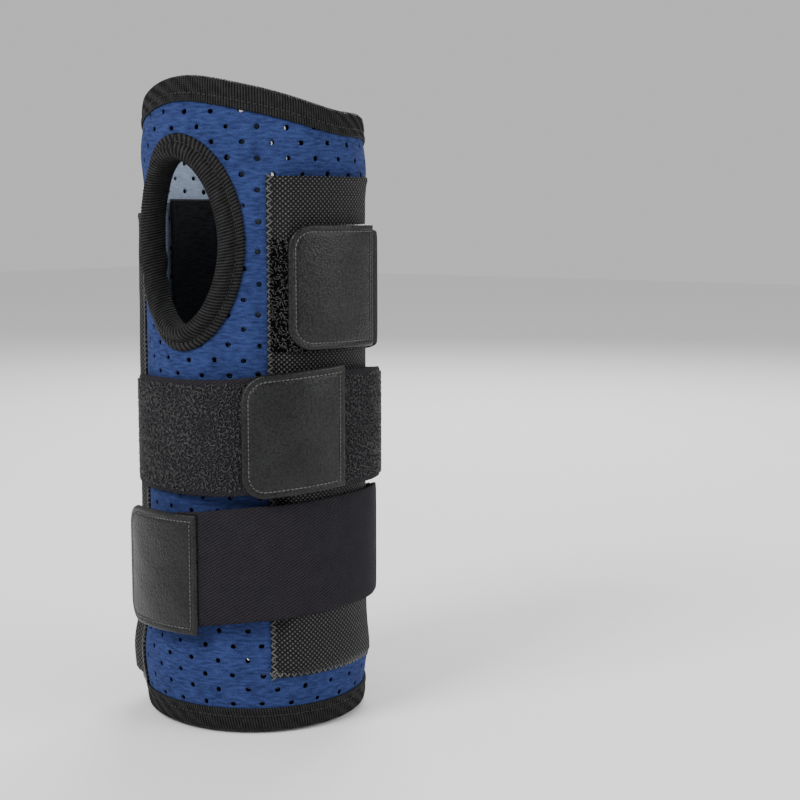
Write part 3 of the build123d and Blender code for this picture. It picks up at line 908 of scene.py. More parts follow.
def nearest(points: Array, line: Array) -> tuple[Array, Array]:
    """The nearest place on a closed line, and the signed distance to it.

    Args:
        points: flat points, one row each.
        line: a closed line's points.

    Returns:
        The places, and distances that are positive inside the line.
    """
    best, gap = np.zeros_like(points), np.full(len(points), np.inf)
    for a, b in zip(line, np.roll(line, -1, axis=0)):
        run = b - a
        t = np.clip((points - a) @ run / (run @ run), 0, 1)[:, None]
        place = a + t * run
        far = np.hypot(*(points - place).T)
        closer = far < gap
        best[closer], gap[closer] = place[closer], far[closer]
    x, z = points.T
    inside = np.zeros(len(points), bool)
    for (ax, az), (bx, bz) in zip(line, np.roll(line, -1, axis=0)):
        spans = (az > z) != (bz > z)
        if spans.any():
            cut = ax + (z - az) * (bx - ax) / np.where(bz == az, 1e-9, bz - az)
            inside ^= spans & (x < cut)
    return best, np.where(inside, gap, -gap)


def draw_in(points: Array, faces: Array, outline: Array, hole: Array,
            margin: float) -> tuple[Array, Array]:
    """Draws cloth that lies near or past a cut edge back to a line inside it.

    Args:
        points: flat points, one row each.
        faces: quads over them.
        outline: the closed line round the cloth.
        hole: the closed line round a hole in it.
        margin: how far inside the cut edges the new line runs.

    Returns:
        The points still used, and the quads that are left.
    """
    drawn = np.zeros(len(points), bool)
    for line, sign in ((outline, 1), (hole, -1)):
        place, gap = nearest(points, line)
        gap *= sign
        short = gap < margin
        way = (points - place) / np.where(np.abs(gap) < 1e-6, 1e-6, gap)[:, None]
        points = np.where(short[:, None], place + way * margin, points)
        drawn |= short
    a, b, c, d = (points[faces[:, k]] for k in range(4))
    area = np.abs(np.cross(c - a, d - b)) / 2
    faces = faces[(area > 1e-3) & ~drawn[faces].all(1)]
    used, faces = np.unique(faces, return_inverse=True)
    return points[used], faces.reshape(-1, 4)


@dataclass(frozen=True)
class Perforation:
    """The lattice of holes through the sleeve."""

    pitch: float = 9.2
    row: float = 4.7
    hole_r: float = 0.85
    margin: float = 4.0
    seed: int = 11


class Sleeve:
    """Three perforated layers of one outline: brushed knit, foam and liner."""

    def __init__(self, workshop: Workshop, repeater: Repeater, shape: SleeveShape,
                 holes: Perforation) -> None:
        """Keeps what it is made from."""
        self.workshop, self.repeater = workshop, repeater
        self.shape, self.holes = shape, holes
        self.outline, self.thumb = shape.outline(), shape.thumb()

    def _cell(self) -> bpy.types.Object:
        """One brick of cloth with a hole in its middle, lying flat."""
        half_w, half_h = self.holes.pitch / 2, self.holes.row / 2
        xs = np.linspace(-half_w, half_w, 5)
        edge = np.array([*[(x, -half_h) for x in xs], (half_w, 0),
                         *[(x, half_h) for x in xs[::-1]], (-half_w, 0)])
        turn = np.arctan2(edge[:, 1], edge[:, 0])
        even = np.unwrap(turn)
        ring = np.stack([np.cos(even), np.sin(even)], 1)
        points = np.vstack([edge, ring * self.holes.hole_r * 1.75, ring * self.holes.hole_r])
        points = np.hstack([points, np.zeros((len(points), 1))])
        return self.repeater.shape("cell", points, grid_faces(3, len(edge), close_cols=True))

    def sheet(self) -> tuple[Array, Array]:
        """The perforated cloth, unrolled.

        Returns:
            Its vertices, as distance round and height, and its quads.
        """
        low, high = self.outline.min(0), self.outline.max(0)
        rows = np.arange(int((high[1] - low[1]) / self.holes.row) + 3)
        cols = np.arange(int((high[0] - low[0]) / self.holes.pitch) + 3)
        s = low[0] + (cols[None, :] + (rows[:, None] % 2) / 2) * self.holes.pitch
        z = np.broadcast_to(low[1] + rows[:, None] * self.holes.row, s.shape)
        centres = np.stack([s.ravel(), z.ravel()], 1)
        near = nearest(centres, self.outline)[1] > -2
        near &= nearest(centres, self.thumb)[1] < 2
        data = bpy.data.meshes.new("lattice")
        flat = np.hstack([centres[near], np.zeros((near.sum(), 1))]) * MM
        data.from_pydata(flat.tolist(), [], [])
        data.attributes.new("turn", "FLOAT_VECTOR", "POINT")
        base = bpy.data.objects.new("lattice", data)
        bpy.context.scene.collection.objects.link(base)
        mesh = self.repeater.run(self.repeater.on_points, base, self._cell(), None,
                                 Repeat(merge=0.0001))
        points = np.zeros(len(mesh.vertices) * 3)
        mesh.vertices.foreach_get("co", points)
        points = points.reshape(-1, 3)[:, :2] / MM
        faces = np.array([p.vertices[:] for p in mesh.polygons])
        bpy.data.meshes.remove(mesh)
        points = self._loosen(points, centres[near])
        return draw_in(points, faces, self.outline, self.thumb, self.holes.margin)

    def _loosen(self, points: Array, centres: Array) -> Array:
        """Varies the holes a little, as a punch in stretchy cloth does."""
        rng = np.random.default_rng(self.holes.seed)
        grow = rng.uniform(0.82, 1.15, (len(centres), 2))
        shift = rng.uniform(-0.3, 0.3, (len(centres), 2))
        row = np.round((points[:, 1] - centres[:, 1].min()) / self.holes.row)
        moved = points.copy()
        for k in range(0, len(centres), 64):
            some = centres[k:k + 64]
            gap = points[:, None, :] - some[None]
            far = np.hypot(gap[..., 0], gap[..., 1])
            which = far.argmin(1)
            close = far[np.arange(len(points)), which] < self.holes.hole_r * 1.8
            pick = np.flatnonzero(close & (row >= 0))
            own = which[pick]
            moved[pick] = some[own] + gap[pick, own] * grow[k + own] + shift[k + own]
        return moved

    def build(self) -> None:
        """Builds the three layers, from the outside in."""
        flat, faces = self.sheet()
        shape = self.shape
        layers = (("outer_fabric", shape.fabric_t, BLUE_KNIT, "knit_blue"),
                  ("foam_core", shape.foam_t, BLACK_FOAM, "foam_black"),
                  ("liner", shape.liner_t, PALE_KNIT, "knit_pale"))
        hair = 0.01
        size = np.ptp(self.outline, axis=0)
        area = (abs(loop_area(self.outline)) - abs(loop_area(self.thumb))) * MM**2
        radius = shape.radius
        for name, depth, finish, slot in layers:
            outer = shape.wrap(flat, radius - hair)
            inner = shape.wrap(flat, radius - depth + hair)
            points, walls = thicken(outer, inner, faces)
            piece = self.workshop.mesh(f"{name}_cloth", points, walls, finish.build(),
                                       np.vstack([flat, flat]))
            self.workshop.finish_piece(piece, "sleeve", slot, name)
            radius -= depth


def loop_area(line: Array) -> float:
    """Area inside a flat closed line."""
    x, z = line.T
    return float((x * np.roll(z, -1) - z * np.roll(x, -1)).sum() / 2)


# --------------------------------------------------------------------------- swept pieces
class Sweep:
    """A profile carried along a path of stations."""

    def __init__(self, workshop: Workshop, fine: int = 4, rib: float = 0.1) -> None:
        """Keeps the workshop, the stations to a rib of the binding, and the ribs' height."""
        self.workshop, self.fine, self.rib = workshop, fine, rib

    @staticmethod
    def _finer(values: Array, times: int) -> Array:
        """Values round a closed line, with more stations between the same ones."""
        count = len(values)
        at = np.arange(count * times) / times
        wrapped = np.vstack([values, values[:1]])
        return np.stack([np.interp(at, np.arange(count + 1), column) for column in wrapped.T], 1)

    def folded(self, name: str, line: Array, shape: SleeveShape, profile: Array, side: float,
               finish: bpy.types.Material, swell: Array | None = None) -> bpy.types.Object:
        """A tape folded over a cut edge of the sleeve.

        Args:
            name: the piece's name.
            line: the closed cut edge, unrolled.
            shape: the sleeve.
            profile: depth from the edge and radius, round the tape's closed section.
            side: 1 if the cloth is on the left of the line, and -1 if on the right.
            finish: its material.
            swell: how much thicker than the profile it is at each station.

        Returns:
            The piece.
        """
        way = smooth_line(tangents(line, closed=True), 6, closed=True)
        way /= np.linalg.norm(way, axis=1, keepdims=True)
        swell = np.zeros(len(line)) if swell is None else swell
        line, way, swell = (self._finer(part, self.fine) for part in (line, way, swell[:, None]))
        swell = swell[:, 0] + self.rib * np.sin(np.arange(len(line)) * 2 * math.pi / self.fine)
        inward = np.stack([-way[:, 1], way[:, 0]], 1) * side
        count, ring = len(line), len(profile)
        middle = shape.radius - shape.wall_t() / 2
        wobble = 0.09 * rough(np.repeat(line, ring, 0), 14, 5)
        depth = np.tile(profile[:, 0], count)
        radius = np.tile(profile[:, 1], count)
        outwards = np.sign(radius - middle)
        radius = radius + outwards * np.repeat(swell, ring) * (depth < 7.5)
        radius = radius - outwards * np.abs(wobble)
        flat = np.repeat(line, ring, 0) + np.repeat(inward, ring, 0) * depth[:, None]
        reach = np.concatenate([[0], np.cumsum(np.linalg.norm(np.diff(line, axis=0), axis=1))])
        across = np.concatenate([[0], np.cumsum(np.linalg.norm(np.diff(profile, axis=0), axis=1))])
        uv = np.stack([np.repeat(reach, ring), np.tile(across, count)], 1)
        return self.workshop.mesh(name, shape.wrap(flat, radius), tube_faces(count, ring, True),
                                  finish, uv)

    def ribbon(self, name: str, path: Array, normal: Array, middle: Array, width: float,
               thickness: float, finish: bpy.types.Material, seed: int = 3,
               puff: float = 0.1) -> bpy.types.Object:
        """A flat strap standing on edge along a path in plan.

        Args:
            name: the piece's name.
            path: the centre line in plan.
            normal: unit vectors square to it, in plan.
            middle: the height of the strap's middle at each station.
            width: the strap's width, along Z.
            thickness: its thickness.
            finish: its material.
            seed: which unevenness its edges have.
            puff: how much its faces are rounded.

        Returns:
            The piece, with cloth UVs along and across it.
        """
        half_w, half_t = width / 2, thickness / 2
        across = np.array([-1, -0.97, -0.85, -0.5, 0, 0.5, 0.85, 0.97, 1])
        lift = half_t * np.array([0.35, 0.8, 1, 1, 1, 1, 1, 0.8, 0.35]) - puff * across**4 * half_t
        profile = np.vstack([np.stack([lift, across * half_w], 1),
                             np.stack([-lift, across * half_w], 1)[::-1]])
        count, ring = len(path), len(profile)
        reach = np.concatenate([[0], np.cumsum(np.linalg.norm(np.diff(path, axis=0), axis=1))])
        at = np.stack([np.repeat(reach, ring), np.tile(profile[:, 1], count)], 1)
        edge = 0.16 * rough(at * (1, 0.02), 17, seed)
        z = np.repeat(middle, ring) + np.tile(profile[:, 1], count) + edge
        flat = np.repeat(path, ring, 0) + np.repeat(normal, ring, 0) * np.tile(profile[:, 0],
                                                                                 count)[:, None]
        return self.workshop.mesh(name, np.hstack([flat, z[:, None]]),
                                  tube_faces(count, ring, False), finish, at)


class Edges:
    """The bindings round the sleeve's outline and its thumb hole, with their stitching."""

    def __init__(self, workshop: Workshop, repeater: Repeater, shapes: Shapes,
                 shape: SleeveShape) -> None:
        """Keeps what they are made from."""
        self.workshop, self.repeater, self.shapes, self.shape = workshop, repeater, shapes, shape
        self.sweep = Sweep(workshop)
        self.tape, self.thread = BINDING.build(), THREAD.build()

    def _stitches(self, name: str, line: Array, side: float, depth: float, radius: float,
                  pitch: float) -> bpy.types.Object:
        """A row of stitches along a binding.

        Args:
            name: the row's name.
            line: the closed cut edge, unrolled.
            side: 1 if the cloth is on the left of the line, and -1 if on the right.
            depth: how far from the edge it runs.
            radius: how far from the sleeve's axis.
            pitch: from one stitch to the next.

        Returns:
            The row as one object.
        """
        way = smooth_line(tangents(line, closed=True), 6, closed=True)
        way /= np.linalg.norm(way, axis=1, keepdims=True)
        row = resample(line + np.stack([-way[:, 1], way[:, 0]], 1) * side * depth, pitch, True)
        ahead = row + tangents(row, closed=True) * 0.1
        points = self.shape.wrap(row, radius)
        outs = points * (1, 1, 0)
        outs /= np.linalg.norm(outs, axis=1, keepdims=True)
        return self.repeater.along(name, points, self.shape.wrap(ahead, radius) - points, outs,
                                   self.shapes.stitch, self.thread, Repeat(0.85, 1.1, seed=5))

    def build(self) -> None:
        """Builds both bindings and their stitches."""
        outer, inner = self.shape.radius, self.shape.radius - self.shape.wall_t()
        edge = self.shape.outline()
        profile = np.array([
            (8.0, outer + 0.05), (8.0, outer + 0.45), (7.7, outer + 0.66), (6.6, outer + 0.74),
            (5.5, outer + 0.5), (4.4, outer + 0.78), (2.6, outer + 0.8), (1.1, outer + 0.55),
            (0.35, outer - 0.25), (0.0, outer - 1.8), (0.35, inner + 0.2), (1.2, inner - 0.5),
            (2.6, inner - 0.78), (5.5, inner - 0.6), (7.7, inner - 0.7), (8.0, inner - 0.3),
            (8.0, inner - 0.05), (4.4, inner - 0.02), (1.3, inner), (0.85, inner + 1.8),
            (1.3, outer), (4.4, outer + 0.02)])
        piece = self.sweep.folded("edge_tape", edge, self.shape, profile, 1, self.tape)
        self.workshop.finish_piece(piece, "sleeve", "binding_tape", "edge_binding")
        row = self._stitches("edge_stitches", edge, side=1, depth=5.5, radius=outer + 0.58,
                             pitch=1.75)
        self.workshop.finish_piece(row, "sleeve", "binding_tape")

        hole = self.shape.thumb()
        profile = np.array([
            (8.0, outer + 0.05), (8.0, outer + 0.6), (7.6, outer + 1.0), (6.2, outer + 1.5),
            (5.3, outer + 1.3), (4.8, outer + 2.3), (3.8, outer + 3.4), (2.4, outer + 3.9),
            (1.0, outer + 3.5), (0.2, outer + 2.2), (-0.1, outer), (0.0, outer - 2.2),
            (0.4, inner - 0.1), (1.4, inner - 0.62), (3.0, inner - 0.75), (7.7, inner - 0.7),
            (8.0, inner - 0.05), (1.3, inner), (0.95, inner + 1.8), (1.3, outer)])
        centre = hole - hole.mean(0)
        turn = np.degrees(np.arctan2(centre[:, 0], centre[:, 1]))
        join = np.exp(-((turn + 112) / 9) ** 2) * 0.55 - np.exp(-((turn + 128) / 5) ** 2) * 0.35
        side = -1 if loop_area(hole) > 0 else 1
        piece = self.sweep.folded("thumb_tape", hole, self.shape, profile, side, self.tape, join)
        self.workshop.finish_piece(piece, "sleeve", "binding_tape", "thumb_binding")
        row = self._stitches("thumb_stitches", hole, side, depth=5.5, radius=outer + 1.45,
                             pitch=1.7)
        self.workshop.finish_piece(row, "sleeve", "binding_tape")


# --------------------------------------------------------------------------- panels
@dataclass(frozen=True)
class PocketShape:
    """A stay pocket: where it stands, how far it leans, and how it swells over the stay."""

    name: str
    phi: float
    half_w: float
    lean: float
    top: float
    foot: float
    base_r: float = SKIN_R
    skin: float = 0.7
    swell: float = 2.75
    hem_w: float = 2.0
    hem_t: float = 0.25
    fullness: float = 1.06

    def radius(self, x: Array, z: Array) -> Array:
        """The cover's outer radius at a place across it, measured from its middle, and a height."""
        side = np.clip((self.half_w - np.abs(x) - 1.8) / 4.6, 0, 1)
        end = np.clip((z - self.foot - 0.4) / 2.8, 0, 1)
        return self.base_r + self.skin + self.swell * (ease(side) * ease(end))

    def middle(self, z: Array) -> Array:
        """How far across the pocket's middle lies at a height."""
        return self.lean * (self.top - z) / (self.top - self.foot)

    def over(self, phi: Array, z: Array) -> Array:
        """The radius of whatever lies on top, at phi and a height."""
        x = OVER_R * np.sin(np.radians(phi - self.phi)) - self.middle(z)
        inside = (np.abs(x) < self.half_w) & (z > self.foot) & (z < self.top)
        return np.where(inside, self.radius(x, z), self.base_r)


@dataclass(frozen=True)
class StripShape:
    """The loop strip: its edges at the top and foot, and how it climbs over the straps."""

    phi: float = 180.0
    foot_z: float = 10.0
    top_drop: float = 32.5
    foot: tuple[float, float] = (4.0, 24.9)
    top: tuple[float, float] = (-24.4, 5.9)
    slit_z: float = 157.5
    ramp: float = 2.2
    climb: float = 2.3
    width: float = 26.2
    slant: float = 1.02
    seed: int = 37


@dataclass(frozen=True)
class TongueShape:
    """The inner flap: how far round and up it reaches, and its seat in the sleeve."""

    phi: tuple[float, float] = (192.0, 287.0)
    z: tuple[float, float] = (10.0, 166.8)
    radius: float = 30.4
    thickness: float = 1.0
    uneven: float = 0.35
    overlock: float = 1.0


class Panels:
    """Flat pieces laid on or in the sleeve: pockets, loop pieces and the tongue."""

    def __init__(self, workshop: Workshop, repeater: Repeater, shapes: Shapes,
                 shape: SleeveShape) -> None:
        """Keeps what they are made from."""
        self.workshop, self.repeater, self.shapes, self.shape = workshop, repeater, shapes, shape
        self.webbing, self.thread = WEBBING_PAINTED_GLINTS.build(), TAB_THREAD.build()
        self.pile, self.glinting_strands = SHADED_PILE_GROUND.build(), GLINTING_LOOPS.build()

    def wall(self, name: str, phi: Array, z: Array, outer: Array, depth: float,
             finish: bpy.types.Material) -> bpy.types.Object:
        """A curved panel from grids of places.

        Args:
            name: the piece's name.
            phi: a grid of angles.
            z: a grid of heights.
            outer: the outer face's radius over the grid.
            depth: its thickness.
            finish: its material.

        Returns:
            The piece.
        """
        rows, cols = phi.shape
        outside = polar(phi.ravel(), outer.ravel(), z.ravel())
        inside = polar(phi.ravel(), outer.ravel() - depth, z.ravel())
        points, faces = thicken(outside, inside, grid_faces(rows, cols))
        uv = np.stack([np.radians(phi.ravel()) * outer.mean(), z.ravel()], 1)
        return self.workshop.mesh(name, points, faces, finish, np.vstack([uv, uv]))

    def zigzag(self, name: str, line: Array, lift: float, pitch: float = 1.1,
               throw: float = 0.9) -> bpy.types.Object:
        """Zigzag stitches along a line of (phi, radius, z) stations."""
        row = resample(polar(line[:, 0], line[:, 1] + lift, line[:, 2]), pitch)
        way = tangents(row)
        outs = row * (1, 1, 0)
        outs /= np.linalg.norm(outs, axis=1, keepdims=True)
        side = np.cross(outs, way)
        slant = np.where(np.arange(len(row)) % 2, throw, -throw)[:, None]
        return self.repeater.along(name, row, way + side * slant * 1.6, outs, self.shapes.zigzag,
                                   self.thread, Repeat(0.9, 1.1, seed=9))

    def pocket(self, pocket: PocketShape) -> None:
        """Builds a pocket's cover, hem and side stitching."""
        rows, cols = 130, 60
        x = np.linspace(-pocket.half_w, pocket.half_w, cols)[None, :] * np.ones((rows, 1))
        z = np.linspace(pocket.foot, pocket.top, rows)[:, None] * np.ones((1, cols))
        spot = np.stack([x.ravel(), z.ravel()], 1)
        outer = pocket.radius(x, z) + 0.12 * rough(spot, 26, 21).reshape(x.shape) - 0.12
        half_hem = pocket.hem_w / 2
        hem = np.clip(1 - np.abs(pocket.top - z - half_hem) / half_hem, 0, 1)
        outer = outer + pocket.hem_t * np.sqrt(hem)
        phi = pocket.phi + np.degrees(np.arcsin((x + pocket.middle(z)) / OVER_R))
        phi = self._clear_of_slit(phi, z)
        outer = outer + self.shape.swell(phi, z)
        piece = self.wall(f"{pocket.name}_cover", phi, z, outer, pocket.skin, self.webbing)
        self.workshop.finish_piece(piece, "sleeve", "webbing", pocket.name)
        for k, col in enumerate((1, cols - 2)):
            line = np.stack([phi[:, col], outer[:, col], z[:, col]], 1)
            seam = self.zigzag(f"{pocket.name}_side_{k}", line, 0.1)
            self.workshop.finish_piece(seam, "sleeve", "webbing")
        line = np.stack([phi[1], outer[1], z[1]], 1)
        seam = self.zigzag(f"{pocket.name}_foot_seam", line, 0.1)
        self.workshop.finish_piece(seam, "sleeve", "webbing")

    def _clear_of_slit(self, phi: Array, z: Array) -> Array:
        """Keeps a panel's edge off the binding beside the slit."""
        top, foot = self.shape.left_corner[0], self.shape.left_foot
        crown = self.shape.crown - self.shape.left_corner[1]
        gap = math.degrees(PANEL_GAP / self.shape.radius)
        limit = top + (foot - top) * (1 - z / crown) + gap
        return np.where(phi < 0, np.maximum(phi, limit), phi)

    def patch(self, pocket: PocketShape, phi_range: tuple[float, float],
              z_range: tuple[float, float]) -> None:
        """Builds the loop patch on a pocket."""
        phi, z = np.meshgrid(np.linspace(*phi_range, 40), np.linspace(*z_range, 40))
        outer = pocket.over(phi, z) + PILE_RISE
        piece = self.wall("loop_patch_base", phi, z, outer, PILE_T, self.pile)
        self.workshop.finish_piece(piece, "sleeve", "loop_pile", "pocket_loop_patch")
        self.loops("loop_patch_pile", phi, z, outer, "sleeve", 31)

    def loops(self, name: str, phi: Array, z: Array, outer: Array, body: str, seed: int,
              per_mm2: float = 1.35) -> None:
        """Scatters pile over a grid of places."""
        rows, cols = phi.shape
        skin = self.workshop.mesh(name, polar(phi.ravel(), outer.ravel(), z.ravel()),
                                  grid_faces(rows, cols), self.pile)
        made = self.repeater.over(name, skin, self.shapes.loop, self.glinting_strands,
                                  Repeat(0.75, 1.25, 2 * math.pi, seed=seed), per_mm2)
        self.workshop.finish_piece(made, body, "loop_pile")

    def strip(self, tape: StripShape, straps: Sequence["StrapShape"]) -> None:
        """Builds the slanting loop strip beside the slit.

        Args:
            tape: its shape.
            straps: the straps whose first layers it climbs over.
        """
        rows, cols = 170, 26
        top_z = self.shape.crown - tape.top_drop
        share = np.linspace(0, 1, rows)[:, None]
        z = tape.foot_z + (top_z - tape.foot_z) * share * np.ones((1, cols))
        left, right = (foot + (top - foot) * share for foot, top in zip(tape.foot, tape.top))
        x = left + (right - left) * np.linspace(0, 1, cols)[None, :]
        phi = tape.phi + np.degrees(np.arcsin(x / OVER_R))
        slit_top, slit_foot = self.shape.right_corner[0], self.shape.right_foot
        slit = (slit_top + (slit_foot - slit_top) * (1 - z / tape.slit_z)
                - math.degrees(PANEL_GAP / self.shape.radius))
        rim = self.shape.rim_height(phi)
        phi, z = np.minimum(phi, slit), np.minimum(z, rim - PANEL_GAP)
        lift = np.zeros_like(z)
        for strap in straps:
            gap = np.abs(z - strap.height(phi)) - strap.width / 2
            step = np.clip(1 - gap / tape.ramp, 0, 1)
            lift = np.maximum(lift, ease(step))
        outer = SKIN_R + PILE_RISE + tape.climb * lift + self.shape.swell(phi, z) * (1 - lift)
        piece = self.wall("loop_strip_base", phi, z, outer, PILE_T, self.pile)
        self.workshop.finish_piece(piece, "sleeve", "loop_pile", "loop_strip")
        self.loops("loop_strip_pile", phi, z, outer, "sleeve", tape.seed)

    def tongue(self, flap: TongueShape) -> None:
        """Builds the inner flap behind the slit, with an overlocked top edge."""
        phi, z = np.meshgrid(np.linspace(*flap.phi, 70), np.linspace(*flap.z, 90))
        spot = np.stack([phi.ravel() * 0.5, z.ravel()], 1)
        outer = flap.radius - flap.uneven * (1 + rough(spot, 60, 41).reshape(phi.shape))
        piece = self.wall("tongue_cloth", phi, z, outer, flap.thickness, BLACK_KNIT.build())
        self.workshop.finish_piece(piece, "sleeve", "knit_black", "tongue")
        line = np.stack([phi[-1], outer[-1] - flap.thickness / 2, z[-1] - 0.4], 1)
        row = resample(polar(line[:, 0], line[:, 1], line[:, 2]), flap.overlock)
        outs = np.tile([0.0, 0.0, 1.0], (len(row), 1))
        ways = row * (1, 1, 0) + tangents(row) * 8
        made = self.repeater.along("tongue_overlock", row, ways, outs, self.shapes.zigzag,
                                   self.thread, Repeat(0.9, 1.25, seed=13))
        self.workshop.finish_piece(made, "sleeve", "knit_black")


# --------------------------------------------------------------------------- straps
@dataclass(frozen=True)
class StrapShape:
    """One strap: the line that it follows in plan and the slanting plane that it runs in."""

    name: str
    bar_phi: float
    anchor_phi: float
    tab_phi: float
    peel_phi: float
    turns: int
    course: tuple[tuple[float, float], ...]
    snug: tuple[tuple[float, float], ...]
    tab_tilt: float
    width: float = 36.0
    tab_width: float = 38.0
    thickness: float = 1.1
    first_r: float = 36.3
    ring_r: float = 39.3
    fold_r: float = 2.45
    near_r: float = 41.75
    far_r: float = 40.4
    slack: float = 0.3
    pitch: float = 1.25
    root_phi: float = 118.0
    tab_length: float = 34.0
    tab_overlap: float = 8.0
    tab_gap: float = 0.15
    hook_margin: float = 2.5

    def height(self, phi: Array | float) -> Array | float:
        """Height of the strap's middle at phi, easing from one known height to the next."""
        known = [(p + turn, z) for turn in (-720, -360, 0, 360) for p, z in self.course]
        angles = [p for p, _ in known]
        spots = [phi + step for step in range(-24, 25, 8)]
        return sum(np.interp(spot, angles, [z for _, z in known]) for spot in spots) / len(spots)

    def returning(self) -> list[tuple[Array, float, float, float]]:
        """The half turns after the ring.

        Returns:
            For each, its centre in plan, its radius, and the angles that it starts and ends at.
        """
        near, far, bar = self.near_r, self.far_r, self.bar_phi
        if not self.turns:
            return [self._half(near, far + self.slack, bar, self.tab_phi)]
        return [self._half(near, far, bar, bar - 180),
                self._half(near + self.pitch, far, bar - 180, bar - 360),
                self._half(near + self.pitch, far + self.pitch, bar - 360, self.tab_phi - 360)]

    def _half(self, near: float, far: float, start: float,
              end: float) -> tuple[Array, float, float, float]:
        """One half turn, that far from the axis by the ring and opposite it."""
        return direction(self.bar_phi) * (near - far) / 2, (near + far) / 2, start, end

    def path(self) -> tuple[Array, Array, Array]:
        """The strap's centre line.

        Returns:
            Places in plan, the directions square to it, and the heights of its middle.
        """
        low = self.first_r + self.thickness / 2
        phi = np.arange(self.root_phi, self.bar_phi, 1.5)
        ramp = np.clip((phi - self.root_phi) / 9, 0, 1)
        radius = low - 0.5 * (1 - ease(ramp))
        runs = [(direction(phi) * radius[:, None], direction(phi), phi)]
        bar = direction(self.bar_phi)
        turn = np.radians(np.linspace(0, 180, 15))[:, None]
        along = direction(self.bar_phi + 90)
        spoke = -np.cos(turn) * bar + np.sin(turn) * along
        runs.append((bar * self.ring_r + spoke * self.fold_r, -spoke,
                     np.full(len(turn), self.bar_phi)))
        for centre, radius, start, end in self.returning():
            if end == self.returning()[-1][3]:
                end -= math.degrees(self.tab_overlap / radius)
            phi = np.linspace(start, end, max(int(abs(end - start) / 2), 2))[1:]
            tight = (radius - self.hug(phi))[:, None]
            runs.append((centre + direction(phi) * tight, -direction(phi), phi))
        plan, square, phi = (np.concatenate(part) for part in zip(*runs))
        return plan, square, np.asarray(self.height(phi))

    def hug(self, phi: Array) -> Array:
        """How much closer than its half turn the strap lies, where little is under it."""
        angles, depths = zip(*self.snug)
        spots = [phi + step for step in range(-6, 7, 3)]
        return sum(np.interp(spot, angles, depths, period=360) for spot in spots) / len(spots)

    def tab_middle(self) -> float:
        """The angle at the middle of the pull tab, which ends where it peels."""
        radius = self.returning()[-1][1] + self.thickness
        return self.peel_phi - math.degrees(self.tab_length / radius) / 2


